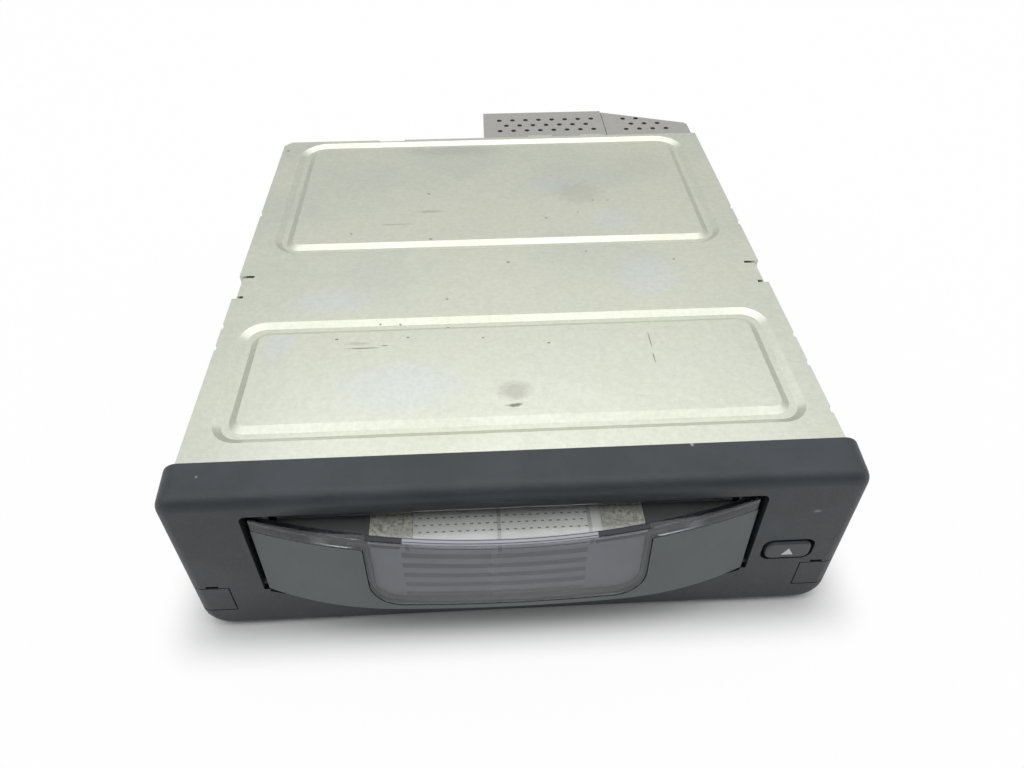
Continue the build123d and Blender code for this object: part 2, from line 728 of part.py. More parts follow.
# --- eject button -----------------------------------------------------------------------
def eject_button():
    front = FACE_Y - BUTTON_PROUD
    face_back = FACE_Y + TRIM_FACE
    cap = face_plate(BUTTON_X, BUTTON_Z, BUTTON_W, BUTTON_H, BUTTON_R, front, face_back + 0.3)
    edge = cap.edges().filter_by(lambda e: abs(e.center().Y - front) < 0.01)
    cap = fillet(edge, 0.7)
    flange_w = BUTTON_W + 2 * (BUTTON_GAP + BUTTON_FLANGE)
    flange_h = BUTTON_H + 2 * (BUTTON_GAP + BUTTON_FLANGE)
    back = face_back + 0.2
    flange = face_plate(
        BUTTON_X, BUTTON_Z, flange_w, flange_h, BUTTON_R + 1, back, back + BUTTON_FLANGE_T
    )
    stem_end = FRONT_BOARD_Y - SWITCH_T - PLUNGER_H - BUTTON_TRAVEL - 0.1
    stem = rod_y(back, stem_end, BUTTON_X, BUTTON_Z, STEM_R)
    return joined([cap, flange, stem]) - mark_prism(MARK_GAP)


def mark_prism(grow):
    """The triangle that points up, sunk into the button's face."""
    front = FACE_Y - BUTTON_PROUD
    half = MARK_W / 2 + grow
    low = BUTTON_Z - MARK_H / 2 - 0.3 - grow
    high = low + MARK_H + 2 * grow
    corners = ((BUTTON_X - half, low), (BUTTON_X + half, low), (BUTTON_X, high))
    start = front if grow == 0 else front - 1
    return upright(corners, start, front + MARK_T + grow)


def button_mark():
    return mark_prism(0)


def front_board():
    board = block(*FRONT_BOARD_X, FRONT_BOARD_Y, FRONT_BOARD_Y + BOARD_T, *FRONT_BOARD_Z)
    return board


def eject_switch():
    back = FRONT_BOARD_Y
    half = SWITCH_SIZE / 2
    can = block(
        BUTTON_X - half, BUTTON_X + half, back - SWITCH_T, back, BUTTON_Z - half, BUTTON_Z + half
    )
    plunger = rod_y(
        back - SWITCH_T - PLUNGER_H, back - SWITCH_T + 0.5, BUTTON_X, BUTTON_Z, PLUNGER_R
    )
    return can + plunger


# --- sheet metal case -------------------------------------------------------------------
def bead(index, shrink, z0, z1, slope):
    """A closed rounded frame that follows one pressed groove; its walls lean by slope."""
    half = BEAD_HALF_X[index] - shrink
    y0 = BEAD_Y[index][0] + shrink
    y1 = BEAD_Y[index][1] - shrink
    radius = BEAD_R[index] - shrink
    width = BEAD_W - 2 * shrink
    middle = (y0 + y1) / 2
    outer = RectangleRounded(2 * half, y1 - y0, radius)
    inner = RectangleRounded(2 * (half - width), y1 - y0 - 2 * width, BEAD_INNER_R + shrink)
    top = Plane.XY.offset(z1)
    depth = -(z1 - z0)
    ring = extrude(top * Pos(0, middle) * outer, depth, taper=slope)
    ring -= extrude(top * Pos(0, middle) * inner, depth, taper=-slope)
    return ring


def top_cover():
    half = COVER_W / 2
    skirt_z = COVER_TOP - SKIRT_H
    plate = block(-half, half, COVER_Y0, COVER_Y1, COVER_TOP - COVER_T, COVER_TOP)
    skirts = [
        block(*sorted((side * half, side * (half - COVER_T))), COVER_Y0, COVER_Y1, skirt_z, COVER_TOP)
        for side in (-1, 1)
    ]
    rear = block(-half, REAR_X0 - 0.4, COVER_Y1 - COVER_T, COVER_Y1, skirt_z, COVER_TOP)
    cover = joined([plate, *skirts, rear])
    for index in range(2):
        cover += bead(index, -0.3, COVER_TOP - COVER_T - BEAD_DEPTH, COVER_TOP - 0.1, BEAD_SLOPE)
    for index in range(2):
        cover -= bead(index, 0, COVER_TOP - BEAD_DEPTH, COVER_TOP, BEAD_SLOPE)
    for side in (-1, 1):
        edge = side * (half + 1)
        clip = side * (half - CLIP_IN)
        cover -= block(*sorted((edge, clip)), *CLIP_Y, skirt_z - 1, COVER_TOP + 1)
        for y, length in zip(CLIP_Y, CLIP_SLOT_L):
            inner = side * (half - CLIP_IN - length)
            y0 = y - CLIP_SLOT_W / 2
            cover -= block(*sorted((edge, inner)), y0, y0 + CLIP_SLOT_W, COVER_TOP - 3, COVER_TOP + 1)
        for y in NICK_Y_LEFT if side < 0 else NICK_Y_RIGHT:
            nick = side * (half - NICK_IN)
            cover -= block(*sorted((edge, nick)), y, y + NICK_L, skirt_z - 1, COVER_TOP + 1)
        hole_x = side * (half - 3)
        for y in COVER_SCREW_Y:
            cover -= rod_x(*sorted((edge, hole_x)), y, COVER_SCREW_Z, COVER_SCREW_R + 0.3)
    notch_y = COVER_Y1 - BACK_NOTCH_IN
    cover -= block(*BACK_NOTCH_X, notch_y, COVER_Y1 + 1, skirt_z - 1, COVER_TOP + 1)
    cut = COVER_CORNER
    corner = Polyline((-half, COVER_Y1 - cut), (-half, COVER_Y1), (-half + cut, COVER_Y1), close=True)
    cover -= extrude(Plane.XY.offset(skirt_z - 1) * make_face(corner), SKIRT_H + 2)
    for x0, x1 in REAR_TABS_X:
        tab_end = COVER_Y1 + REAR_TAB_OUT
        cover += block(x0, x1, COVER_Y1 - 1, tab_end, COVER_TOP - COVER_T, COVER_TOP)
    return cover


def cover_screws():
    group = []
    outer = COVER_W / 2
    for side in (-1, 1):
        for y in COVER_SCREW_Y:
            shaft = rod_x(*sorted((side * (outer - 4), side * outer)), y, COVER_SCREW_Z, COVER_SCREW_R)
            head = rod_x(*sorted((side * outer, side * (outer + 1.4))), y, COVER_SCREW_Z, 2.7)
            group.append(shaft + head)
    return Compound(children=group)


def base_plate():
    plate = block(-CASE_HALF, CASE_HALF, 0, CASE_Y1, BASE_Z, FLOOR_Z)
    feet = [rod_z(0, BASE_Z + 0.2, side * FOOT_X, y, FOOT_R) for side in (-1, 1) for y in FOOT_Y]
    pillars = [rod_z(FLOOR_Z - 0.2, FLOOR_Z + BOARD_LIFT, x, y, 2.6) for x, y in board_corners()]
    return joined([plate, *feet, *pillars])


def side_wall(side):
    x0, x1 = sorted((side * INSIDE, side * CASE_HALF))
    wall = block(x0, x1, SHEET, CASE_Y1 - SHEET, FLOOR_Z, CASE_Z1)
    for y in SIDE_HOLE_Y:
        wall -= rod_x(x0 - 1, x1 + 1, y, SIDE_HOLE_Z, SIDE_HOLE_R)
    for y in COVER_SCREW_Y:
        wall -= rod_x(x0 - 1, x1 + 1, y, COVER_SCREW_Z, COVER_SCREW_R + SCREW_FIT)
    return wall


def front_plate():
    plate = block(-CASE_HALF, CASE_HALF, 0, SHEET, FLOOR_Z, CASE_Z1)
    half = MAG_HALF + 1.2
    plate -= block(DOOR_X - half, DOOR_X + half, -1, 2 * SHEET, MAG_Z0 - 1.2, MAG_Z1 + 0.8)
    for x, z in TRIM_SCREWS:
        plate -= rod_y(-1, 2 * SHEET, x, z, TRIM_SCREW_R + 0.3)
    for side in (-1, 1):
        key_z = CORNER_Z + CORNER_H / 2
        plate -= block(
            side * PRY_X - KEY_SLOT_W / 2,
            side * PRY_X + KEY_SLOT_W / 2,
            -1,
            2 * SHEET,
            key_z - KEY_SLOT_H / 2,
            key_z + KEY_SLOT_H / 2,
        )
    return plate


def rear_plate():
    plate = block(-CASE_HALF, CASE_HALF, CASE_Y1 - SHEET, CASE_Y1, FLOOR_Z, CASE_Z1)
    wire_hole = block(*WIRE_HOLE_X, CASE_Y1 - 2 * SHEET, CASE_Y1 + 1, *WIRE_HOLE_Z)
    return plate - wire_hole


# --- rear housing -----------------------------------------------------------------------
def hollow_prism(points, z0, z1, inner, front_y):
    """A closed box over a plan outline, open towards the case."""
    outer = extrude(Plane.XY.offset(z0) * make_face(Polyline(*points, close=True)), z1 - z0)
    hollow = extrude(
        Plane.XY.offset(z0 + SHEET) * make_face(Polyline(*inner, close=True)), z1 - z0 - 2 * SHEET
    )
    return outer - hollow


def vent_rows(x, counts, z0, z1):
    holes = []
    for y, count in zip(VENT_Y, counts):
        stagger = VENT_PITCH / 2 if count % 2 else 0
        for number in range(count):
            holes.append(rod_z(z0, z1, x + stagger + number * VENT_PITCH, y, VENT_R))
    return holes


def rear_housing():
    """Left part of the box behind the case, with the larger field of vents."""
    y0 = CASE_Y1 + 0.1
    points = [(REAR_X0, y0), (REAR_SEAM, y0), (REAR_SEAM, REAR_Y1), (REAR_X0, REAR_Y1)]
    inner = [
        (REAR_X0 + SHEET, y0 - 1),
        (REAR_SEAM - SHEET, y0 - 1),
        (REAR_SEAM - SHEET, REAR_Y1 - SHEET),
        (REAR_X0 + SHEET, REAR_Y1 - SHEET),
    ]
    box = hollow_prism(points, REAR_Z0, CASE_Z1, inner, y0)
    grow = SCREW_FIT
    box -= block(
        SOCKET_X - SOCKET_W / 2 - grow,
        SOCKET_X + SOCKET_W / 2 + grow,
        REAR_Y1 - 2 * SHEET,
        REAR_Y1 + 1,
        SOCKET_Z - SOCKET_H / 2 - grow,
        SOCKET_Z + SOCKET_H / 2 + grow,
    )
    for hole in vent_rows(VENT_X, VENT_COUNT, CASE_Z1 - 2 * SHEET, CASE_Z1 + 1):
        box -= hole
    return box


def rear_shield():
    """Right part, one step lower, with a slanted back and a smaller field of vents."""
    y0 = CASE_Y1 + 0.1
    x0 = REAR_SEAM + REAR_GAP
    x1 = CASE_HALF
    slant_x, slant_y = REAR_SLANT
    start_y = REAR_Y1 - 0.6
    points = [(x0, y0), (x1, y0), (x1, REAR_SIDE_Y), (slant_x, slant_y), (x0, start_y)]
    inner = [
        (x0 + SHEET, y0 - 1),
        (x1 - SHEET, y0 - 1),
        (x1 - SHEET, REAR_SIDE_Y - SHEET),
        (slant_x - 0.4, slant_y - SHEET),
        (x0 + SHEET, start_y - 1.5 * SHEET),
    ]
    top = CASE_Z1 - REAR_STEP
    box = hollow_prism(points, REAR_Z0, top, inner, y0)
    for row, y in enumerate(VENT_Y):
        count = VENT2_COUNT[row]
        stagger = VENT_PITCH / 2 if row == 1 else 0
        for number in range(count):
            x = VENT2_X + stagger + number * VENT_PITCH
            box -= rod_z(top - 2 * SHEET, top + 1, x, y, VENT_R)
    return box


# --- rear socket ------------------------------------------------------------------------
def rear_socket():
    """Socket for the lead from the radio, flush with the back of the rear housing."""
    y1 = REAR_Y1
    y0 = y1 - SOCKET_DEPTH
    x0 = SOCKET_X - SOCKET_W / 2
    x1 = SOCKET_X + SOCKET_W / 2
    z0 = SOCKET_Z - SOCKET_H / 2
    z1 = SOCKET_Z + SOCKET_H / 2
    wall = SOCKET_WALL
    body = block(x0, x1, y0, y1, z0, z1)
    body += block(x0 - 2, x1 + 2, y0, y1 - SHEET, z0 - 2, z1 + 2)
    body -= block(x0 + wall, x1 - wall, y0 + SOCKET_FLOOR, y1 + 1, z0 + wall, z1 - wall)
    grow = CONTACT_SIZE / 2 + SCREW_FIT
    for x, z in contact_places():
        body -= block(x - grow, x + grow, y0 - 1, y0 + SOCKET_FLOOR + 1, z - grow, z + grow)
    return body


def contact_places():
    places = []
    for row in (-1, 1):
        for number in range(CONTACTS):
            x = SOCKET_X + (number - (CONTACTS - 1) / 2) * CONTACT_PITCH
            places.append((x, SOCKET_Z + row * CONTACT_PITCH / 2))
    return places


def socket_contacts():
    floor_y = REAR_Y1 - SOCKET_DEPTH + SOCKET_FLOOR
    start = REAR_Y1 - SOCKET_DEPTH - CONTACT_TAIL
    half = CONTACT_SIZE / 2
    group = [
        block(x - half, x + half, start, floor_y + CONTACT_OUT, z - half, z + half)
        for x, z in contact_places()
    ]
    return Compound(children=group)


def rear_board():
    y1 = REAR_Y1 - SOCKET_DEPTH
    z0 = REAR_Z0 + SHEET
    x0 = REAR_X0 + SHEET + 1
    x1 = REAR_SEAM - SHEET - 1
    board = block(x0, x1, y1 - BOARD_T, y1, z0, z0 + REAR_BOARD_H)
    grow = CONTACT_SIZE / 2 + SCREW_FIT
    for x, z in contact_places():
        board -= block(x - grow, x + grow, y1 - BOARD_T - 1, y1 + 1, z - grow, z + grow)
    return board


# --- main board -------------------------------------------------------------------------
def board_corners():
    inset = 4.0
    columns = (BOARD_X[0] + inset, BOARD_X[1] - inset)
    rows = (BOARD_Y[0] + inset, BOARD_Y[1] - inset)
    return [(x, y) for x in columns for y in rows]


def main_board():
    z0 = FLOOR_Z + BOARD_LIFT
    board = block(*BOARD_X, *BOARD_Y, z0, z0 + BOARD_T)
    for x, y in board_corners():
        board -= rod_z(z0 - 1, z0 + BOARD_T + 1, x, y, 1.3)
    return board


def board_top():
    return FLOOR_Z + BOARD_LIFT + BOARD_T


def board_chips():
    z = board_top()
    group = []
    for x, y, width, length, height in CHIPS:
        group.append(block(x - width / 2, x + width / 2, y - length / 2, y + length / 2, z, z + height))
    return Compound(children=group)


def board_capacitors():
    z = board_top()
    group = [rod_z(z, z + height, x, y, radius) for x, y, radius, height in CAPACITORS]
    return Compound(children=group)


# --- magazine ---------------------------------------------------------------------------
def magazine_case():
    """A box of thin walls with shelf ledges, open at the back."""
    x0 = DOOR_X - MAG_HALF
    x1 = DOOR_X + MAG_HALF
    y0 = MAG_Y0 + MAG_FACE
    case = block(x0, x1, y0, MAG_Y1, MAG_Z0, MAG_Z1)
    case -= block(
        x0 + MAG_WALL, x1 - MAG_WALL, y0 - 1, MAG_Y1 + 1, MAG_Z0 + MAG_SKIN, MAG_Z1 - MAG_SKIN
    )
    for level in range(1, TRAYS):
        z1 = TRAY_Z + level * TRAY_PITCH - TRAY_CLEAR
        for side in (-1, 1):
            outer = DOOR_X + side * (MAG_HALF - MAG_WALL + 0.2)
            inner = DOOR_X + side * (MAG_HALF - MAG_WALL + 0.2 - LEDGE_IN)
            case += block(*sorted((outer, inner)), y0, MAG_Y1, z1 - LEDGE_T, z1)
    return case


def magazine_front():
    """The magazine's front panel, with a ribbed field for the fingers."""
    x0 = DOOR_X - MAG_HALF
    x1 = DOOR_X + MAG_HALF
    panel = block(x0, x1, MAG_Y0, MAG_Y0 + MAG_FACE, MAG_Z0, MAG_Z1)
    height = MAG_Z1 - MAG_Z0
    count = int(height / GRIP_PITCH)
    first = MAG_Z0 + (height - (count - 1) * GRIP_PITCH) / 2
    for number in range(count):
        z = first + number * GRIP_PITCH
        half = GRIP_PITCH / 4
        panel += block(
            DOOR_X - GRIP_W / 2,
            DOOR_X + GRIP_W / 2,
            MAG_Y0 - GRIP_T,
            MAG_Y0 + 0.1,
            z - half,
            z + half,
        )
    return panel


def disc_tray(level):
    """A C-shaped carrier with a shallow seat for one disc, open at the back."""
    z0 = TRAY_Z + level * TRAY_PITCH
    z1 = z0 + TRAY_T
    x0 = DOOR_X - TRAY_HALF
    x1 = DOOR_X + TRAY_HALF
    tray = block(x0, x1, TRAY_Y0, TRAY_Y1, z0, z1)
    cut = TRAY_HALF - TRAY_ARM
    tray -= block(DOOR_X - cut, DOOR_X + cut, TRAY_CUT_Y, TRAY_Y1 + 1, z0 - 1, z1 + 1)
    tray -= rod_z(z0 + TRAY_FLOOR, z1 + 1, DOOR_X, DISC_Y, DISC_R + DISC_PLAY)
    tray -= rod_z(z0 - 1, z1 + 1, DOOR_X, TRAY_Y0, 9.0)
    return tray


def magazine_rail(side):
    """Upright sheet with a ledge that carries one edge of the magazine."""
    inner = MAG_HALF + RAIL_PLAY
    outer = inner + RAIL_T
    web_x = sorted((DOOR_X + side * inner, DOOR_X + side * outer))
    ledge_x = sorted((DOOR_X + side * (MAG_HALF - RAIL_LEDGE), DOOR_X + side * outer))
    ledge_top = MAG_Z0 - RAIL_LIFT_GAP
    guide_z = MAG_Z1 + RAIL_LIFT_GAP
    web = block(*web_x, RAIL_Y0, MAG_Y1, FLOOR_Z, guide_z + RAIL_T)
    ledge = block(*ledge_x, RAIL_Y0, MAG_Y1, ledge_top - RAIL_T, ledge_top)
    guide_x = sorted((DOOR_X + side * (MAG_HALF - RAIL_LEDGE / 2), DOOR_X + side * outer))
    guide = block(*guide_x, RAIL_Y0, MAG_Y1, guide_z, guide_z + RAIL_T)
    return joined([web, ledge, guide])


# --- playing deck -----------------------------------------------------------------------
def lift_carriage():
    """E-shaped sheet that carries the deck; its flanges hold the four lift pins."""
    z0 = CARRIAGE_Z
    z1 = z0 + CARRIAGE_T
    flange = CARRIAGE_FLANGE_X
    bar = block(-flange, flange, CARRIAGE_BAR_Y, DECK_Y1, z0, z1)
    tongue = block(DOOR_X - DECK_HALF, DOOR_X + DECK_HALF, DECK_Y0, CARRIAGE_BAR_Y + 1, z0, z1)
    pieces = [bar, tongue]
    for side in (-1, 1):
        inner = DOOR_X + side * (TRAY_HALF + CARRIAGE_GAP)
        outer = side * flange
        pieces.append(block(*sorted((inner, outer)), CARRIAGE_ARM_Y, CARRIAGE_BAR_Y + 1, z0, z1))
        wall_x = sorted((outer, side * (flange - SHEET)))
        pieces.append(block(*wall_x, CARRIAGE_ARM_Y, DECK_Y1, z0, LIFT_PIN_Z + 2.6))
        for y in LIFT_PIN_Y:
            ends = sorted((side * (flange - 0.5), side * (FRAME_X + SHEET + 1.4)))
            pieces.append(rod_x(*ends, y, LIFT_PIN_Z, LIFT_PIN_R))
    return joined(pieces)


def deck_plate():
    z1 = DECK_Z + DECK_T
    plate = block(DOOR_X - DECK_HALF, DOOR_X + DECK_HALF, DECK_Y0, DECK_Y1, DECK_Z, z1)
    plate -= rod_z(DECK_Z - 1, z1 + 1, DOOR_X, SPINDLE_Y, 3.0)
    slot_y0 = SPINDLE_Y + PLAY_R0 - 6
    plate -= block(DOOR_X - 9, DOOR_X + 9, slot_y0, slot_y0 + SLED_TRAVEL + 6, DECK_Z - 1, z1 + 1)
    posts = []
    for side in (-1, 1):
        for y0, y1 in rod_posts():
            x = DOOR_X + side * ROD_X
            posts.append(block(x - 3, x + 3, y0, y1, z1 - 0.2, ROD_Z + 2.6))
    x = DOOR_X + SCREW_X
    posts.append(block(x - 3, x + 3, DECK_Y1 - 4, DECK_Y1, z1 - 0.2, SCREW_Z + 2.4))
    plate = joined([plate, *posts])
    for side in (-1, 1):
        x = DOOR_X + side * ROD_X
        plate -= rod_y(DECK_Y0, DECK_Y1 + 1, x, ROD_Z, ROD_R + SCREW_FIT)
    plate -= rod_y(DECK_Y1 - 5, DECK_Y1 + 1, DOOR_X + SCREW_X, SCREW_Z, SCREW_R + GEAR_PLAY)
    return plate


def sled_front():
    """Front edge of the pickup at rest; its lens stands at the first track."""
    return SPINDLE_Y + PLAY_R0 + 3.4 - SLED_L


def rod_posts():
    """Places along Y of the posts that hold the guide rods."""
    start = sled_front() - 4.4
    return ((start, start + 3.4), (DECK_Y1 - 1.4, DECK_Y1))


def deck_dampers():
    z0 = CARRIAGE_Z + CARRIAGE_T
    group = []
    for side in (-1, 1):
        for y in (DECK_Y0 + DAMPER_IN, DECK_Y1 - DAMPER_IN):
            x = DOOR_X + side * (DECK_HALF - DAMPER_IN)
            group.append(rod_z(z0, DECK_Z, x, y, DAMPER_R))
    return Compound(children=group)


def guide_rods():
    posts = rod_posts()
    y0 = posts[0][0] - 0.6
    group = [rod_y(y0, DECK_Y1, DOOR_X + side * ROD_X, ROD_Z, ROD_R) for side in (-1, 1)]
    return Compound(children=group)


def spindle_motor():
    z0 = DECK_Z + DECK_T
    z1 = z0 + MOTOR_H
    can = rod_z(z0, z1, DOOR_X, SPINDLE_Y, MOTOR_R)
    lug = block(DOOR_X - 14, DOOR_X + 14, SPINDLE_Y - 3, SPINDLE_Y + 3, z0, z0 + 1.2)
    body = joined([can, lug])
    return body - rod_z(z0 + 2, z1 + 1, DOOR_X, SPINDLE_Y, SPINDLE_R + SPINDLE_PLAY)


def turntable():
    shaft_z = DECK_Z + DECK_T + 2.1
    plane = DISC_PLANE
    shaft = rod_z(shaft_z, plane, DOOR_X, SPINDLE_Y, SPINDLE_R)
    table = rod_z(plane - TABLE_T, plane, DOOR_X, SPINDLE_Y, TABLE_R)
    hub = Pos(DOOR_X, SPINDLE_Y, plane + HUB_H / 2) * Cone(HUB_R, HUB_R - 1.0, HUB_H)
    return joined([shaft, table, hub])


def pickup_sled():
    y0 = sled_front()
    body = block(DOOR_X - SLED_HALF, DOOR_X + SLED_HALF, y0, y0 + SLED_L, SLED_Z0, SLED_Z1)
    body -= rod_z(SLED_Z0 - 1, SLED_Z1 + 1, DOOR_X, SPINDLE_Y, MOTOR_R + 1.2)
    for side in (-1, 1):
        x = DOOR_X + side * ROD_X
        body -= rod_y(y0 - 1, y0 + SLED_L + 1, x, ROD_Z, ROD_R + GEAR_PLAY)
    arm_x = DOOR_X + SLED_HALF
    reach = DOOR_X + SCREW_X + SCREW_R + 2.4
    arm = block(arm_x - 1, reach, y0 + 4, y0 + 10, SCREW_Z - 3, SLED_Z1)
    body = joined([body, arm])
    lens_y = SPINDLE_Y + PLAY_R0
    body -= rod_y(y0 - 1, y0 + SLED_L + 1, DOOR_X + SCREW_X, SCREW_Z, SCREW_R + GEAR_PLAY)
    body -= rod_z(SLED_Z1 - 1.5, SLED_Z1 + 1, DOOR_X, lens_y, LENS_R - 1.2 + SCREW_FIT)
    return body


def pickup_lens():
    lens_y = SPINDLE_Y + PLAY_R0
    holder = rod_z(SLED_Z1 - 1.4, SLED_Z1 + 1.4, DOOR_X, lens_y, LENS_R - 1.2)
    dome = Pos(DOOR_X, lens_y, SLED_Z1 + 1.4) * Cylinder(LENS_R - 1.8, 0.8)
    return joined([holder, dome])


def feed_screw():
    y0 = sled_front() - 6.0
    screw = rod_y(y0, DECK_Y1, DOOR_X + SCREW_X, SCREW_Z, SCREW_R)
    return screw


def feed_motor():
    y1 = sled_front() - 4.2
    y0 = y1 - STEPPER_L
    x = DOOR_X + SCREW_X
    can = rod_y(y0, y1, x, SCREW_Z, STEPPER_R)
    foot = block(x - 5, x + 5, y1 - 1.2, y1, DECK_Z + DECK_T, SCREW_Z)
    body = joined([can, foot])
    return body - rod_y(y1 - 2.2, y1 + 1, x, SCREW_Z, SCREW_R + GEAR_PLAY)


def clamper_plane():
    """Height of the clamper's underside: one disc above the lifted turntable."""
    return DISC_PLANE + LIFT + 1.3


def clamper():
    z0 = clamper_plane()
    z1 = z0 + CLAMP_T
    ring = rod_z(z0, z1, DOOR_X, SPINDLE_Y, CLAMP_R)
    ring -= rod_z(z0 - 1, z0 + 1.3, DOOR_X, SPINDLE_Y, HUB_R + 0.6)
    neck = rod_z(z1 - 0.2, z1 + 1.6, DOOR_X, SPINDLE_Y, CLAMP_NECK_R)
    knob = rod_z(z1 + 1.1, z1 + 1.9, DOOR_X, SPINDLE_Y, CLAMP_NECK_R + 1.6)
    return joined([ring, neck, knob])


def clamp_bridge():
    """Flat strip across the case, under the cover, that holds the clamper loosely."""
    z0 = clamper_plane() + CLAMP_T + 0.3
    z1 = z0 + 0.8
    y0 = SPINDLE_Y - 8
    y1 = SPINDLE_Y + 8
    step_x = CAM_X - BRIDGE_STEP
    strip = block(-FRAME_X, step_x, y0, y1, z0, z1)
    step = block(step_x - 14, step_x, y1 - 1, y1 + 9, z0, z1)
    arm = block(step_x - 1, FRAME_X, y1 + 1, y1 + 9, z0, z1)
    strip = joined([strip, step, arm])
    return strip - rod_z(z0 - 1, z1 + 1, DOOR_X, SPINDLE_Y, CLAMP_NECK_R + CLAMP_PLAY)


# --- lift slide, frames and drive -------------------------------------------------------
def cam_slide():
    """U-shaped sheet with four slanted slots; pulled forward, it lifts the carriage."""
    outer = CAM_X + CAM_T
    bridge = block(-outer, outer, *CAM_BRIDGE_Y, CAM_Z0, CAM_Z0 + CAM_T)
    pieces = [bridge]
    slot_r = LIFT_PIN_R + PIN_SLOT_PLAY
    stud_r = STUD_R + PIN_SLOT_PLAY
    for side in (-1, 1):
        x0, x1 = sorted((side * CAM_X, side * outer))
        wall = block(x0, x1, CAM_Y0, CAM_Y1, CAM_Z0, CAM_TOP)
        if side > 0:
            wall = joined([wall, rack(x0, x1)])
        for y in LIFT_PIN_Y:
            wall -= slot_x(x0 - 1, x1 + 1, (y, LIFT_PIN_Z), (y + LIFT, LIFT_PIN_Z + LIFT), slot_r)
        for y in STUD_Y:
            wall -= slot_x(x0 - 1, x1 + 1, (y, STUD_Z), (y + LIFT, STUD_Z), stud_r)
        pieces.append(wall)
    return joined(pieces)


def rack(x0, x1):
    """Teeth along the top edge; one gap lies under the pinion at rest."""
    pitch = math.pi * RACK_MODULE
    half = pitch / 4 - 0.08
    slope = math.tan(math.radians(20))
    tip = RACK_Z + 0.8 * RACK_MODULE
    root = CAM_TOP - 0.2
    teeth = []
    count = int((LIFT + 8) / pitch)
    for number in range(-2, count):
        y = GEAR_Y + (number + 0.5) * pitch
        tip_half = half - (tip - RACK_Z) * slope
        root_half = half + (RACK_Z - root) * slope
        outline = ((y - root_half, root), (y - tip_half, tip), (y + tip_half, tip), (y + root_half, root))
        teeth.append(side_plate(outline, x0, x1))
    return joined(teeth)


def lift_frame(side):
    """Fixed upright with the slots that let the lift pins move straight up."""
    x0, x1 = sorted((side * FRAME_X, side * (FRAME_X + SHEET)))
    wall = block(x0, x1, FRAME_Y0, FRAME_Y1, FLOOR_Z, ROOF_Z)
    slot_r = LIFT_PIN_R + PIN_SLOT_PLAY
    for y in LIFT_PIN_Y:
        wall -= slot_x(x0 - 1, x1 + 1, (y, LIFT_PIN_Z), (y, LIFT_PIN_Z + LIFT), slot_r)
    head = CAM_X - 0.2
    for y in STUD_Y:
        wall += rod_x(*sorted((side * head, side * (FRAME_X + 0.5))), y, STUD_Z, STUD_R)
    if side > 0:
        wall -= rod_x(x0 - 1, x1 + 1, GEAR_Y, GEAR_Z, GEAR_PIN_R + SCREW_FIT)
    return wall


def gear_axle():
    return rod_x(wheel_x()[0] - 1.0, FRAME_X + SHEET + 0.6, GEAR_Y, GEAR_Z, GEAR_PIN_R)


def wheel_x():
    """The wheel turns just inside the cam's right wall."""
    return (CAM_X - 2.9, CAM_X - 0.9)


def drive_gear():
    x0, x1 = wheel_x()
    wheel = gear_x(x0, x1, GEAR_Y, GEAR_Z, WHEEL_TEETH, WHEEL_MODULE, 0)
    pinion = gear_x(x1 - 0.1, CAM_X + CAM_T + 0.5, GEAR_Y, GEAR_Z, PINION_TEETH, RACK_MODULE, -90)
    body = joined([wheel, pinion])
    return body - rod_x(x0 - 1, FRAME_X, GEAR_Y, GEAR_Z, GEAR_PIN_R + GEAR_PLAY)


def motor_pinion():
    x0, x1 = wheel_x()
    half_pitch = 180.0 / MOTOR_TEETH
    gear = gear_x(x0 + 0.2, x1 - 0.2, DRIVE_Y, GEAR_Z, MOTOR_TEETH, WHEEL_MODULE, half_pitch)
    shaft = rod_x(x0 - 3.4, x1, DRIVE_Y, GEAR_Z, 0.75)
    return joined([gear, shaft])


def drive_motor():
    x1 = wheel_x()[0] - 1.4
    x0 = x1 - DRIVE_L
    can = rod_x(x0, x1, DRIVE_Y, GEAR_Z, DRIVE_R)
    return can - rod_x(x1 - 2.4, x1 + 1, DRIVE_Y, GEAR_Z, 0.75 + GEAR_PLAY)


def motor_bracket():
    """Angle that hangs the drive motor from the right-hand frame."""
    x0 = wheel_x()[0] - 1.35
    x1 = x0 + 0.8
    y0 = DRIVE_Y - DRIVE_R - 1
    y1 = DRIVE_Y + 1.2
    top = ROOF_Z
    plate = block(x0, x1, y0, DRIVE_Y + 3.4, GEAR_Z - DRIVE_R, top)
    shelf = block(x0, FRAME_X, y0, GEAR_Y - WHEEL_R - 1.0, top - 0.8, top)
    plate = joined([plate, shelf])
    return plate - rod_x(x0 - 1, x1 + 1, DRIVE_Y, GEAR_Z, 1.6)


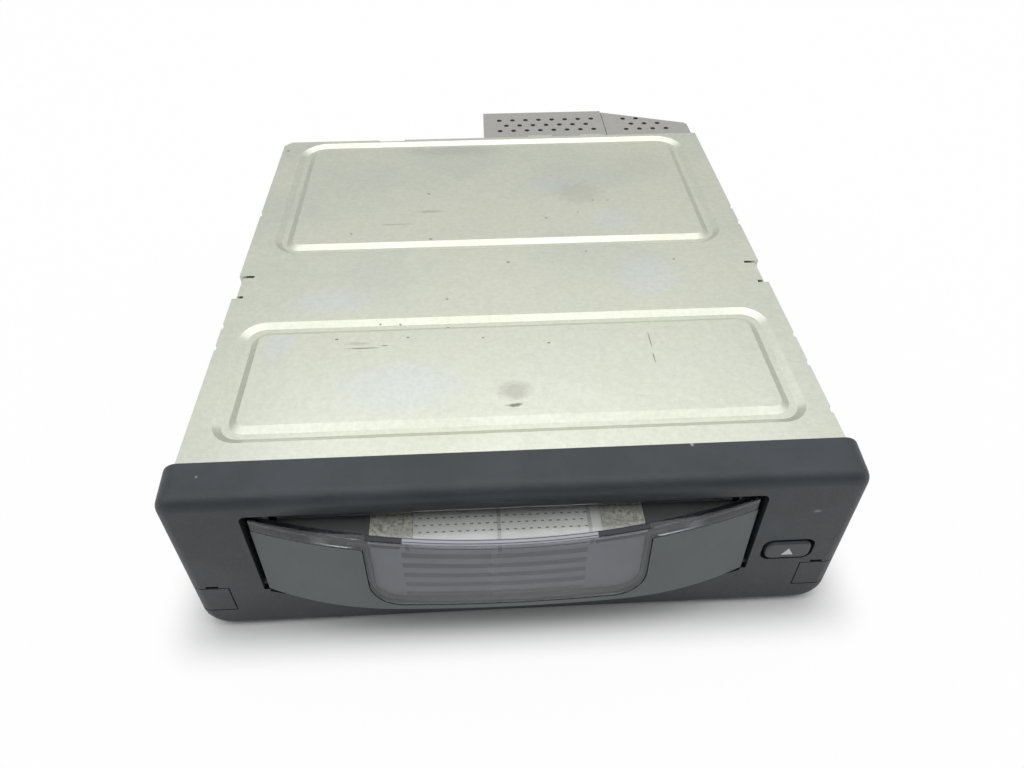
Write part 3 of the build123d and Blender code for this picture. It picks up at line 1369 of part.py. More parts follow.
# --- all the pieces ---------------------------------------------------------------------
PIECES = {
    "front_trim": front_trim,
    "trim_screws": trim_screws,
    "corner_cover_left": lambda: corner_cover(-1),
    "corner_cover_right": lambda: corner_cover(1),
    "door_panel": door_panel,
    "door_lens": door_lens,
    "door_insert": door_insert,
    "insert_strips": insert_strips,
    "hinge_pins": hinge_pins,
    "eject_button": eject_button,
    "button_mark": button_mark,
    "front_board": front_board,
    "eject_switch": eject_switch,
    "top_cover": top_cover,
    "cover_screws": cover_screws,
    "base_plate": base_plate,
    "side_wall_left": lambda: side_wall(-1),
    "side_wall_right": lambda: side_wall(1),
    "front_plate": front_plate,
    "rear_plate": rear_plate,
    "rear_housing": rear_housing,
    "rear_shield": rear_shield,
    "rear_socket": rear_socket,
    "socket_contacts": socket_contacts,
    "rear_board": rear_board,
    "main_board": main_board,
    "board_chips": board_chips,
    "board_capacitors": board_capacitors,
    "magazine_rail_left": lambda: magazine_rail(-1),
    "magazine_rail_right": lambda: magazine_rail(1),
    "magazine_case": magazine_case,
    "magazine_front": magazine_front,
    "lift_carriage": lift_carriage,
    "deck_dampers": deck_dampers,
    "deck_plate": deck_plate,
    "spindle_motor": spindle_motor,
    "turntable": turntable,
    "guide_rods": guide_rods,
    "pickup_sled": pickup_sled,
    "pickup_lens": pickup_lens,
    "feed_screw": feed_screw,
    "feed_motor": feed_motor,
    "clamper": clamper,
    "clamp_bridge": clamp_bridge,
    "cam_slide": cam_slide,
    "lift_frame_left": lambda: lift_frame(-1),
    "lift_frame_right": lambda: lift_frame(1),
    "gear_axle": gear_axle,
    "drive_gear": drive_gear,
    "motor_pinion": motor_pinion,
    "drive_motor": drive_motor,
    "motor_bracket": motor_bracket,
}
for number in range(TRAYS):
    PIECES[f"disc_tray_{number + 1}"] = lambda level=number: disc_tray(level)

FRONT_Y = FACE_Y - BULGE_TOP
MIDDLE_Y = (FRONT_Y + REAR_Y1) / 2

for name, make in PIECES.items():
    export_step(Pos(0, -MIDDLE_Y, 0) * make(), f"parts/{name}.step")
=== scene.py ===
# %% [markdown]
# # A disc changer for a car dash
# The changer fills one radio slot. A sheet metal case carries a dark trim plate with a
# bowed door, and behind the door sit a magazine, its trays and a small playing deck.
# The solids come from the CAD frame. This notebook dresses them: it softens edges, adds
# one clear plate to the door, and gives every piece a finish.

import json
import math

import bmesh
import bpy
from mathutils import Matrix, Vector


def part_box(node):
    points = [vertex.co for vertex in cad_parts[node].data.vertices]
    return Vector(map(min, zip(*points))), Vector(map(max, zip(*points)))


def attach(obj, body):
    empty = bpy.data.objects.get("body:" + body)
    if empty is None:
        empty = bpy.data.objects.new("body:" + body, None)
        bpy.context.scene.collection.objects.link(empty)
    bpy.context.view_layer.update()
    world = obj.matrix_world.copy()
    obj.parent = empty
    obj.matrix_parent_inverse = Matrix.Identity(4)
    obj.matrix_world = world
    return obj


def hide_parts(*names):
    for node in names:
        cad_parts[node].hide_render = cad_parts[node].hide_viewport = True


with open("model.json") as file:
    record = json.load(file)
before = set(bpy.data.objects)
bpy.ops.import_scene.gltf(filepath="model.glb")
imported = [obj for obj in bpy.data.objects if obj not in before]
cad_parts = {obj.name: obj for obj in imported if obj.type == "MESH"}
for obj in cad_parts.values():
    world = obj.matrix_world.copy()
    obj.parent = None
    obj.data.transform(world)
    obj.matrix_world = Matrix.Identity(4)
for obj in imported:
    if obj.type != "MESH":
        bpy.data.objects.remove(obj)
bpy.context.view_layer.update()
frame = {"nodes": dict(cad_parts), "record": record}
nodes = frame["nodes"]
MM = 0.001
print("pieces in the frame:", len(nodes))


# %% [markdown]
# ## Camera
# The photograph looks down on the front through a wide lens. The camera's place, its
# three angles and the lens length below were fitted to the outline of the trim plate and
# the cover, so the render can be laid over the photograph.

# %% Camera
SENSOR_WIDTH = 36.0
LENS_LENGTH = 27.58
CAMERA_PLACE = (-8.21 * MM, -235.42 * MM, 214.42 * MM)
CAMERA_ANGLES = (46.9386, 0.0547, -2.9817)

lens = bpy.data.cameras.new("photo_camera")
lens.sensor_width = SENSOR_WIDTH
lens.lens = LENS_LENGTH
lens.clip_start = 0.01
camera = bpy.data.objects.new("photo_camera", lens)
camera.location = CAMERA_PLACE
camera.rotation_euler = [math.radians(angle) for angle in CAMERA_ANGLES]
bpy.context.scene.collection.objects.link(camera)
bpy.context.scene.camera = camera
print("camera stands", round(camera.location.z / MM), "mm above the floor")


# %% [markdown]
# ## Helpers for shader nodes
# A material is a small network of nodes. Short helpers keep the recipes readable: they add
# a node, join two sockets, do a sum, mix colours, stretch a value or place a group.

# %% Node helpers
MIX_FACTOR, MIX_FIRST, MIX_SECOND, MIX_RESULT = 0, 6, 7, 2


def add(tree, kind, **values):
    """A new node; values are its properties, or sockets by name with spaces as _."""
    node = tree.nodes.new(kind)
    for key, value in values.items():
        if hasattr(node, key):
            setattr(node, key, value)
        else:
            node.inputs[key.replace("_", " ")].default_value = value
    return node


def join(tree, output, target):
    tree.links.new(output, target)


def maths(tree, operation, first, second=0.0, clamp=False):
    """A maths node whose two inputs are sockets or numbers."""
    node = tree.nodes.new("ShaderNodeMath")
    node.operation = operation
    node.use_clamp = clamp
    for socket, value in zip(node.inputs, (first, second)):
        if isinstance(value, (int, float)):
            socket.default_value = value
        else:
            tree.links.new(value, socket)
    return node.outputs[0]


def product(tree, first, *others):
    """All the values multiplied together."""
    for other in others:
        first = maths(tree, "MULTIPLY", first, other)
    return first


def greatest(tree, first, *others):
    """The greatest of the values."""
    for other in others:
        first = maths(tree, "MAXIMUM", first, other)
    return first


def object_place(tree):
    """The shaded point in its object's coordinates, in metres."""
    return tree.nodes.new("ShaderNodeTexCoord").outputs["Object"]


def apart(tree, vector):
    """The x, y and z of a vector."""
    node = tree.nodes.new("ShaderNodeSeparateXYZ")
    join(tree, vector, node.inputs[0])
    return [node.outputs[axis] for axis in "XYZ"]


def times(colour, factor):
    """A colour made darker or lighter by a factor."""
    return tuple(part * factor for part in colour)


def blend_colour(tree, factor, first, second, mode="MIX"):
    """A colour mix; the factor and the two colours are sockets or values."""
    node = tree.nodes.new("ShaderNodeMix")
    node.data_type = "RGBA"
    node.blend_type = mode
    for index, value in ((MIX_FACTOR, factor), (MIX_FIRST, first), (MIX_SECOND, second)):
        if isinstance(value, (int, float)):
            node.inputs[index].default_value = value
        elif isinstance(value, tuple):
            node.inputs[index].default_value = (*value[:3], 1.0)
        else:
            tree.links.new(value, node.inputs[index])
    return node.outputs[MIX_RESULT]


def remap(tree, value, low, high, new_low=0.0, new_high=1.0, smooth=True):
    """Stretches a value from one span to another and clamps it there."""
    node = tree.nodes.new("ShaderNodeMapRange")
    node.interpolation_type = "SMOOTHSTEP" if smooth else "LINEAR"
    tree.links.new(value, node.inputs[0])
    for index, number in enumerate((low, high, new_low, new_high), start=1):
        node.inputs[index].default_value = number
    return node.outputs[0]


def noise(tree, vector, scale, detail=3.0, roughness=0.55):
    node = add(tree, "ShaderNodeTexNoise", Scale=scale, Detail=detail, Roughness=roughness)
    tree.links.new(vector, node.inputs["Vector"])
    return node.outputs["Fac"]


def new_group(name, inputs, outputs):
    """An empty node group with float inputs (name, value) and outputs (name, type)."""
    tree = bpy.data.node_groups.new(name, "ShaderNodeTree")
    for label, value in inputs:
        kind = "NodeSocketVector" if isinstance(value, tuple) else "NodeSocketFloat"
        socket = tree.interface.new_socket(name=label, in_out="INPUT", socket_type=kind)
        socket.default_value = value
    for label, kind in outputs:
        tree.interface.new_socket(name=label, in_out="OUTPUT", socket_type=kind)
    start = tree.nodes.new("NodeGroupInput")
    end = tree.nodes.new("NodeGroupOutput")
    return tree, start.outputs, end.inputs


def place(tree, group, **values):
    """Puts a group into a material and sets its inputs."""
    node = tree.nodes.new("ShaderNodeGroup")
    node.node_tree = group
    for key, value in values.items():
        socket = node.inputs[key.replace("_", " ")]
        if isinstance(value, (int, float, tuple)):
            socket.default_value = value
        else:
            tree.links.new(value, socket)
    return node.outputs


FLOAT = "NodeSocketFloat"
print("helpers ready")


# %% [markdown]
# ## Effects that several finishes share
# Each effect is a node group that puts out a mask or a height. The material then decides
# what the mask changes. All patterns read Object coordinates in metres, so a noise scale
# of 1000 has features about a millimetre wide.

# %% Group: mould grain
grain_group, start, end = new_group(
    "mould_grain", [("Scale", 2600.0), ("Patches", 45.0)], [("Height", FLOAT), ("Tone", FLOAT)]
)
position = object_place(grain_group)
fine = add(grain_group, "ShaderNodeTexNoise", Detail=2.0, Roughness=0.6)
join(grain_group, position, fine.inputs["Vector"])
join(grain_group, start["Scale"], fine.inputs["Scale"])
broad = add(grain_group, "ShaderNodeTexNoise", Detail=4.0, Roughness=0.6)
join(grain_group, position, broad.inputs["Vector"])
join(grain_group, start["Patches"], broad.inputs["Scale"])
join(grain_group, fine.outputs["Fac"], end["Height"])
join(grain_group, remap(grain_group, broad.outputs["Fac"], 0.3, 0.7), end["Tone"])
print("grain group has", len(grain_group.nodes), "nodes")

# %% Group: fine scratches
scratch_group, start, end = new_group(
    "fine_scratches", [("Spread", 1.0), ("Amount", 0.5)], [("Mask", FLOAT)]
)
position = object_place(scratch_group)
total = None
for turn, stretch in ((0.35, 24.0), (1.15, 30.0), (2.3, 20.0)):
    mapping = add(scratch_group, "ShaderNodeMapping")
    mapping.inputs["Rotation"].default_value = (0.0, 0.0, turn)
    mapping.inputs["Scale"].default_value = (60.0, 60.0 * stretch, 60.0)
    join(scratch_group, position, mapping.inputs["Vector"])
    streak = noise(scratch_group, mapping.outputs["Vector"], 1.0, 2.0, 0.5)
    streak = remap(scratch_group, streak, 0.665, 0.72)
    where = noise(scratch_group, position, 38.0 + 9.0 * turn, 1.0)
    streak = maths(scratch_group, "MULTIPLY", streak, remap(scratch_group, where, 0.5, 0.66))
    total = streak if total is None else maths(scratch_group, "MAXIMUM", total, streak)
total = maths(scratch_group, "MULTIPLY", total, start["Amount"], clamp=True)
join(scratch_group, total, end["Mask"])
print("scratch group has", len(scratch_group.nodes), "nodes")

# %% Group: specks
speck_group, start, end = new_group("specks", [("Scale", 90.0), ("Size", 0.06)], [("Mask", FLOAT)])
position = object_place(speck_group)
wobble = add(speck_group, "ShaderNodeTexNoise", Scale=900.0, Detail=2.0)
join(speck_group, position, wobble.inputs["Vector"])
cells = add(speck_group, "ShaderNodeTexVoronoi")
join(speck_group, position, cells.inputs["Vector"])
join(speck_group, start["Scale"], cells.inputs["Scale"])
reach = maths(speck_group, "ADD", cells.outputs["Distance"], -0.04)
ragged = maths(speck_group, "MULTIPLY", wobble.outputs["Fac"], 0.08)
reach = maths(speck_group, "ADD", reach, ragged)
speck = maths(speck_group, "LESS_THAN", reach, start["Size"])
rare = add(speck_group, "ShaderNodeSeparateColor")
join(speck_group, cells.outputs["Color"], rare.inputs[0])
chosen = maths(speck_group, "GREATER_THAN", rare.outputs[0], 0.72)
speck = maths(speck_group, "MULTIPLY", speck, chosen)
join(speck_group, speck, end["Mask"])
print("speck group has", len(speck_group.nodes), "nodes")

# %% Group: a soft spot at a place
spot_group, start, end = new_group(
    "soft_spot",
    [("Centre", (0.0, 0.0, 0.0)), ("Reach", (0.005, 0.005, 0.02)), ("Ragged", 0.4)],
    [("Mask", FLOAT)],
)
position = object_place(spot_group)
away = add(spot_group, "ShaderNodeVectorMath", operation="SUBTRACT")
join(spot_group, position, away.inputs[0])
join(spot_group, start["Centre"], away.inputs[1])
scaled = add(spot_group, "ShaderNodeVectorMath", operation="DIVIDE")
join(spot_group, away.outputs[0], scaled.inputs[0])
join(spot_group, start["Reach"], scaled.inputs[1])
distance = add(spot_group, "ShaderNodeVectorMath", operation="LENGTH")
join(spot_group, scaled.outputs[0], distance.inputs[0])
ragged = noise(spot_group, position, 420.0, 4.0)
ragged = maths(spot_group, "SUBTRACT", ragged, 0.5)
ragged = maths(spot_group, "MULTIPLY", ragged, start["Ragged"])
edge = maths(spot_group, "ADD", distance.outputs["Value"], ragged)
join(spot_group, remap(spot_group, edge, 1.0, 0.35), end["Mask"])
print("spot group has", len(spot_group.nodes), "nodes")

# %% Group: worn edges
edge_group, start, end = new_group("worn_edges", [("Radius", 0.0005)], [("Mask", FLOAT)])
rounded = add(edge_group, "ShaderNodeBevel", samples=4)
join(edge_group, start["Radius"], rounded.inputs["Radius"])
flat = edge_group.nodes.new("ShaderNodeNewGeometry").outputs["Normal"]
likeness = add(edge_group, "ShaderNodeVectorMath", operation="DOT_PRODUCT")
join(edge_group, rounded.outputs[0], likeness.inputs[0])
join(edge_group, flat, likeness.inputs[1])
join(edge_group, remap(edge_group, likeness.outputs["Value"], 0.999, 0.93), end["Mask"])
print("edge group has", len(edge_group.nodes), "nodes")


# %% [markdown]
# ## A recipe for moulded plastic
# Nearly every dark piece is injection moulded with a fine satin grain. One function makes
# such a material: the colour drifts a little, worn edges are lighter, and the grain goes
# into a bump node.

# %% Moulded plastic
def socket(shader, name, value):
    shader.inputs[name].default_value = value


def start_material(name):
    material = bpy.data.materials.new(name)
    material.use_nodes = True
    tree = material.node_tree
    shader = tree.nodes["Principled BSDF"]
    return material, tree, shader


def add_bump(tree, shader, height, strength, distance):
    bump = add(tree, "ShaderNodeBump", Strength=strength, Distance=distance)
    join(tree, height, bump.inputs["Height"])
    join(tree, bump.outputs["Normal"], shader.inputs["Normal"])


WEAR_RADIUS = 0.0004
RUBBED_GREY = (0.36, 0.37, 0.36)


def moulded(
    name, colour, roughness=0.5, grain=2600.0, depth=0.00003, drift=0.14, edge=0.35, marks=()
):
    """Satin plastic. Each of the marks is a centre, a reach and a strength of a pale rub."""
    material, tree, shader = start_material(name)
    pattern = place(tree, grain_group, Scale=grain, Patches=40.0)
    worn = place(tree, edge_group, Radius=WEAR_RADIUS)["Mask"]
    lighter = tuple(min(1.0, c * (1 + drift) + 0.004) for c in colour)
    darker = times(colour, 1 - drift)
    shade = blend_colour(tree, pattern["Tone"], darker, lighter)
    rub = tuple(min(1.0, c * 1.7 + 0.02) for c in colour)
    shade = blend_colour(tree, maths(tree, "MULTIPLY", worn, edge), shade, rub)
    for centre, reach, strength in marks:
        mask = place(tree, spot_group, Centre=centre, Reach=reach, Ragged=0.7)["Mask"]
        shade = blend_colour(tree, maths(tree, "MULTIPLY", mask, strength), shade, RUBBED_GREY)
    join(tree, shade, shader.inputs["Base Color"])
    gloss = remap(tree, pattern["Height"], 0.25, 0.75, roughness - 0.06, roughness + 0.08)
    join(tree, gloss, shader.inputs["Roughness"])
    add_bump(tree, shader, pattern["Height"], 0.35, depth)
    return material


print("moulded plastic recipe ready")


# %% [markdown]
# ## A recipe for zinc-coated sheet
# The case is thin steel with a zinc coat: a pale, slightly warm metal with cloudy and
# cool patches, the fine sparkle of zinc crystals, handling marks and small dark specks.

# %% Coated sheet
COOL = (0.62, 0.66, 0.70)
WARMTH = (1.0, 0.985, 0.94)
SPECK_BROWN = (0.2, 0.18, 0.14)


def coated_sheet(name, colour, roughness=0.42, specks=True, marks=(), patches=()):
    """Zinc-coated steel. Marks are (centre, reach, ragged, strength, tone); patches are cool."""
    material, tree, shader = start_material(name)
    position = object_place(tree)
    socket(shader, "Metallic", 0.8)
    clouds = remap(tree, noise(tree, position, scale=22.0, detail=6.0, roughness=0.62), 0.3, 0.72)
    warm = tuple(c * f for c, f in zip(colour, WARMTH))
    shade = blend_colour(tree, clouds, warm, colour)
    for centre, reach in patches:
        mask = place(tree, spot_group, Centre=centre, Reach=reach, Ragged=0.9)["Mask"]
        shade = blend_colour(tree, maths(tree, "MULTIPLY", mask, 0.4), shade, COOL)
    spangle = noise(tree, position, scale=620.0, roughness=0.7)
    sparkle = remap(tree, spangle, 0.25, 0.75, 0.94, 1.05)
    shade = blend_colour(tree, 1.0, shade, sparkle, "MULTIPLY")
    scratches = place(tree, scratch_group, Amount=0.3)["Mask"]
    shade = blend_colour(tree, scratches, shade, times(colour, 0.75))
    if specks:
        dots = place(tree, speck_group, Scale=60.0, Size=0.03)["Mask"]
        shade = blend_colour(tree, maths(tree, "MULTIPLY", dots, 0.5), shade, SPECK_BROWN)
    for centre, reach, ragged, strength, tone in marks:
        mask = place(tree, spot_group, Centre=centre, Reach=reach, Ragged=ragged)["Mask"]
        shade = blend_colour(tree, maths(tree, "MULTIPLY", mask, strength), shade, tone)
    join(tree, shade, shader.inputs["Base Color"])
    dull = remap(tree, clouds, 0.0, 1.0, roughness + 0.05, roughness - 0.03)
    dull = maths(tree, "ADD", dull, maths(tree, "MULTIPLY", scratches, 0.15))
    join(tree, dull, shader.inputs["Roughness"])
    add_bump(tree, shader, spangle, 0.15, 0.00002)
    return material


print("coated sheet recipe ready")


# %% [markdown]
# ## The finishes
# Each CAD node names a material slot in the record. One finish per slot is made here. The
# colours of the pieces in sight were measured on the photograph, tuned against it in the
# render and turned to linear light. The colours of hidden pieces are guesses.

# %% Plain finishes
def linear(red, green, blue):
    """Display colour, 0 to 255, to the linear values a shader wants."""
    values = []
    for number in (red, green, blue):
        share = number / 255
        values.append(share / 12.92 if share <= 0.04045 else ((share + 0.055) / 1.055) ** 2.4)
    return tuple(values)


ZINC = linear(209, 213, 201)
TRIM_GREY = linear(46, 52, 57)
SHALLOW = 0.00001
finishes = {
    "galvanised": coated_sheet("galvanised", ZINC),
    "deck_steel": coated_sheet("deck_steel", linear(205, 206, 204), 0.35, specks=False),
    "trim_grey": moulded("trim_grey", TRIM_GREY, 0.5),
    "door_grey": moulded(
        "door_grey", linear(76, 85, 85), 0.44, grain=3600.0, depth=SHALLOW, drift=0.06
    ),
    "button_grey": moulded(
        "button_grey", linear(52, 58, 62), 0.42, grain=3200.0, depth=SHALLOW, drift=0.08, edge=0.8
    ),
    "mark_light": moulded(
        "mark_light", linear(205, 207, 205), 0.5, grain=3000.0, depth=SHALLOW, drift=0.05, edge=0.0
    ),
    "black_plastic": moulded("black_plastic", linear(34, 35, 37), 0.45),
    "chip_black": moulded("chip_black", linear(30, 30, 32), 0.6, grain=5000.0),
    "magazine_black": moulded("magazine_black", linear(66, 68, 73), 0.42),
    "tray_grey": moulded("tray_grey", linear(92, 95, 98), 0.45),
    "gear_white": moulded(
        "gear_white", linear(225, 222, 212), 0.38, grain=4000.0, depth=SHALLOW, drift=0.04, edge=0.1
    ),
    "damper_rubber": moulded("damper_rubber", linear(36, 34, 34), 0.75),
    "capacitor_sleeve": moulded("capacitor_sleeve", linear(40, 52, 84), 0.3),
    "pickup_metal": moulded("pickup_metal", linear(120, 122, 124), 0.5),
}
print(len(finishes), "finishes so far")

# %% [markdown]
# Metal that is not sheet: motors, rods, screws and contacts. They keep a full Metallic
# value, and a fine noise varies the gloss as turning or drawing marks do.

# %% Turned metal
EVEN = (900.0, 900.0, 900.0)
DRAWN_ALONG_Y = (600.0, 3000.0, 600.0)


def turned_metal(name, colour, roughness, scale=EVEN):
    material, tree, shader = start_material(name)
    socket(shader, "Metallic", 1.0)
    position = object_place(tree)
    mapping = add(tree, "ShaderNodeMapping")
    mapping.inputs["Scale"].default_value = scale
    join(tree, position, mapping.inputs["Vector"])
    marks = noise(tree, mapping.outputs["Vector"], scale=1.0)
    shade = blend_colour(tree, marks, times(colour, 0.86), colour)
    join(tree, shade, shader.inputs["Base Color"])
    dull = remap(tree, marks, 0.2, 0.8, roughness - 0.06, roughness + 0.1)
    join(tree, dull, shader.inputs["Roughness"])
    add_bump(tree, shader, marks, 0.1, 0.00001)
    return material


finishes["motor_steel"] = turned_metal("motor_steel", linear(188, 190, 192), 0.32)
finishes["ground_rod"] = turned_metal("ground_rod", linear(215, 216, 218), 0.18, DRAWN_ALONG_Y)
finishes["screw_zinc"] = turned_metal("screw_zinc", linear(200, 196, 182), 0.34)
finishes["tin_contact"] = turned_metal("tin_contact", linear(214, 198, 150), 0.28)
print(len(finishes), "finishes so far")


# %% [markdown]
# The boards are green with faint copper tracks. A brick pattern on a large scale gives
# straight runs, and a little noise keeps them from looking printed by rule.

# %% Board, felt and clear pieces
def board_material(name):
    material, tree, shader = start_material(name)
    position = object_place(tree)
    tracks = add(
        tree, "ShaderNodeTexBrick", Scale=260.0, Mortar_Size=0.05, Brick_Width=1.7, Row_Height=0.35
    )
    join(tree, position, tracks.inputs["Vector"])
    shade = blend_colour(tree, tracks.outputs["Fac"], linear(22, 84, 52), linear(38, 112, 70))
    tone = noise(tree, position, scale=60.0)
    shade = blend_colour(tree, remap(tree, tone, 0.2, 0.8, 0.0, 0.35), shade, linear(16, 60, 40))
    join(tree, shade, shader.inputs["Base Color"])
    join(tree, remap(tree, tone, 0.3, 0.7, 0.28, 0.42), shader.inputs["Roughness"])
    add_bump(tree, shader, tracks.outputs["Fac"], 0.2, 0.00005)
    return material


def felt_material(name, colour):
    material, tree, shader = start_material(name)
    position = object_place(tree)
    lumps = noise(tree, position, scale=900.0, detail=5.0, roughness=0.7)
    patches = noise(tree, position, scale=260.0)
    shade = blend_colour(tree, remap(tree, lumps, 0.35, 0.65), times(colour, 0.35), colour)
    worn = remap(tree, patches, 0.4, 0.65, 0.0, 0.6)
    shade = blend_colour(tree, worn, shade, times(colour, 0.6))
    join(tree, shade, shader.inputs["Base Color"])
    socket(shader, "Roughness", 0.95)
    add_bump(tree, shader, lumps, 0.9, 0.0004)
    return material


def clear_material(name, colour, roughness, haze, paint=None):
    """Tinted clear moulding. Haze is a share of milky diffuse; paint gives opaque painted shade and
    light.
    """
    material, tree, shader = start_material(name)
    position = object_place(tree)
    smear = noise(tree, position, scale=140.0, detail=4.0)
    socket(shader, "Transmission Weight", 1.0)
    socket(shader, "IOR", 1.49)
    shade = blend_colour(tree, smear, colour, times(colour, 0.93))
    join(tree, shade, shader.inputs["Base Color"])
    dull = remap(tree, smear, 0.3, 0.7, roughness, roughness + 0.05)
    join(tree, dull, shader.inputs["Roughness"])
    milk = add(tree, "ShaderNodeBsdfPrincipled")
    socket(milk, "Roughness", 0.35)
    mixer = add(tree, "ShaderNodeMixShader")
    mixer.inputs[0].default_value = haze
    if paint:
        share, shade = paint(tree, shade)
        join(tree, maths(tree, "ADD", share, haze, clamp=True), mixer.inputs[0])
    join(tree, shade, milk.inputs["Base Color"])
    join(tree, shader.outputs[0], mixer.inputs[1])
    join(tree, milk.outputs[0], mixer.inputs[2])
    join(tree, mixer.outputs[0], tree.nodes["Material Output"].inputs["Surface"])
    return material


finishes["board_green"] = board_material("board_green")
finishes["strip_felt"] = felt_material("felt", linear(226, 224, 208))
finishes["lens_clear"] = clear_material(
    "lens_clear", linear(150, 170, 215), roughness=0.02, haze=0.05
)
print(len(finishes), "finishes in all")


# %% [markdown]
# ## The white insert
# Behind the smoked window stands a white ribbed plate. Its top carries rows of short
# dashes. Near its upper front edge lie two painted shadow lines, dark blue painted shade at
# both ends where the dark room behind the lip shows, and three slim posts. Painted shade
# strips cross the middle bar between its slots, so the slots look unbroken. They are all
# masks in the material: each is a span along x, y or z.

# %% Insert finish
def between(tree, value, low, high, soft=0.00008):
    """One inside a span and zero outside it, with a soft edge."""
    rise = remap(tree, value, low - soft, low + soft)
    fall = remap(tree, value, high - soft, high + soft, 1.0, 0.0)
    return maths(tree, "MULTIPLY", rise, fall)


def repeat(tree, value, pitch, shift=0.0):
    """Where a value stands within its repeat, from 0 to 1, and the number of that repeat."""
    steps = maths(tree, "ADD", maths(tree, "DIVIDE", value, pitch), shift)
    return maths(tree, "FRACT", steps), maths(tree, "FLOOR", steps)


def paint_layers(tree, shade, layers):
    """Paints colours over a shade; a layer is a mask, a strength and a display colour."""
    for mask, strength, colour in layers:
        shade = blend_colour(tree, product(tree, mask, strength), shade, linear(*colour))
    return shade


DASH_PITCH_X = 2.07 * MM
DASH_PITCH_Y = 2.25 * MM
DASH_ROW_START = 0.35
DASH_SHARE_X = (0.3, 0.7)
DASH_SHARE_Y = (0.41, 0.59)
DASH_MARGIN = 3.2 * MM
FINE_SHADE_LINES = ((0.9 * MM, 0.55 * MM), (2.1 * MM, 1.8 * MM))
SHADE_END_BAND = (2.6 * MM, 0.3 * MM)
POST_HALF = 0.5 * MM
POST_BAND = (3.6 * MM, 0.2 * MM)
SLOT_PITCH = 4.4 * MM
SLOT_START = 0.7 * MM
SLOT_SHARE = (0.0, 0.45)
MIDDLE_BAR_X = (-7.7 * MM, -5.5 * MM)

insert_low, insert_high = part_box("door_insert")
door_x = (insert_low.x + insert_high.x) / 2
dash_x = (door_x - 26.3 * MM, door_x + 21.3 * MM)
post_x = (dash_x[0] + 0.3 * MM, door_x - 2.3 * MM, dash_x[1] + 0.2 * MM)
# x spans of the painted shade at the insert's ends, where the dark room behind the lip shows.
shade_end_x = (
    (insert_low.x - MM, dash_x[0] - 1.5 * MM),
    (dash_x[1] + 1.0 * MM, insert_high.x + MM),
)
material, tree, shader = start_material("insert_white")
x, y, z = apart(tree, object_place(tree))


def below_top(deep, shallow):
    """The band of the insert between two depths below its top."""
    return between(tree, z, insert_high.z - deep, insert_high.z - shallow)


along_y, row = repeat(tree, y, DASH_PITCH_Y, DASH_ROW_START)
stagger = maths(tree, "MULTIPLY", maths(tree, "FLOORED_MODULO", row, 2.0), 0.5)
along_x = maths(tree, "ADD", maths(tree, "DIVIDE", x, DASH_PITCH_X), stagger)
along_x = maths(tree, "FRACT", along_x)
dashes = product(
    tree,
    between(tree, along_x, *DASH_SHARE_X, soft=0.05),
    between(tree, along_y, *DASH_SHARE_Y, soft=0.03),
    between(tree, x, *dash_x),
    below_top(0.05 * MM, -MM),
    between(tree, y, insert_low.y + DASH_MARGIN, insert_high.y),
)
# Two painted shadow lines near the insert's upper front edge.
insert_shade_lines = greatest(tree, *(below_top(*band) for band in FINE_SHADE_LINES))
# Painted shade at both ends of the insert, near its top.
painted_shade_ends = greatest(tree, *(between(tree, x, *span) for span in shade_end_x))
painted_shade_ends = product(tree, painted_shade_ends, below_top(*SHADE_END_BAND))
posts = [between(tree, x, middle - POST_HALF, middle + POST_HALF) for middle in post_x]
posts = greatest(tree, *posts)
ridges = product(tree, posts, below_top(0.1 * MM, -MM))
posts = product(tree, posts, below_top(*POST_BAND))
# Painted shade: dark strips across the middle bar between the slot rows, so the slots look unbroken.
slot_rows = repeat(tree, maths(tree, "SUBTRACT", z, insert_low.z + SLOT_START), SLOT_PITCH)[0]
painted_slot_shade = product(
    tree,
    between(tree, slot_rows, *SLOT_SHARE, soft=0.03),
    between(tree, x, *MIDDLE_BAR_X),
    between(tree, z, insert_low.z, insert_high.z - POST_BAND[0]),
)
pattern = place(tree, grain_group, Scale=3000.0, Patches=60.0)
shade = blend_colour(tree, pattern["Tone"], linear(232, 232, 226), linear(244, 244, 240))
# Over the white: grey posts and ridges, painted slot shade, painted shadow lines, painted shade at
# both ends, and the dashes.
layers = (
    (posts, 0.75, (96, 96, 108)),
    (ridges, 0.4, (120, 120, 124)),
    (painted_slot_shade, 0.55, (70, 68, 78)),
    (insert_shade_lines, 0.9, (48, 46, 66)),
    (painted_shade_ends, 1.0, (34, 32, 58)),
    (dashes, 0.85, (70, 68, 66)),
)
join(tree, paint_layers(tree, shade, layers), shader.inputs["Base Color"])
socket(shader, "Roughness", 0.5)
add_bump(tree, shader, maths(tree, "SUBTRACT", 1.0, dashes), 0.6, 0.0003)
finishes["insert_white"] = material
print("insert finish has", len(tree.nodes), "nodes")

# %% [markdown]
# ## The smoked window and its lip
# Window and lip are one smoked moulding. The lip's top edge carries painted shade at both
# ends, where the dark room behind it would show through, and in the middle a painted pale
# glow of the white insert with two painted shadow lines. The dark outer part of each wing
# is painted shade of the room behind it too. All are masks. The lip follows one large arc,
# so its centre gives every line along it.

# %% Lens finish
LENS_BOW = 11.2 * MM
WINDOW_HALF = 37.6 * MM
WINDOW_RIM = 0.8 * MM
LIP_SKIN = 0.3 * MM
LIP_SHADE_DEPTH = 1.75 * MM
LIP_SHADOW_LINES = ((0.35 * MM, 0.62 * MM), (1.45 * MM, 1.7 * MM))
WING_SHADE_FADE = (45 * MM, 53 * MM)
WING_SHADE_BAND = (4.3 * MM, 1.2 * MM)

lens_low, lens_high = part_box("door_lens")
door_half = (lens_high.x - lens_low.x) / 2
arc_radius = (door_half**2 + LENS_BOW**2) / (2 * LENS_BOW)
arc_y = lens_low.y + arc_radius
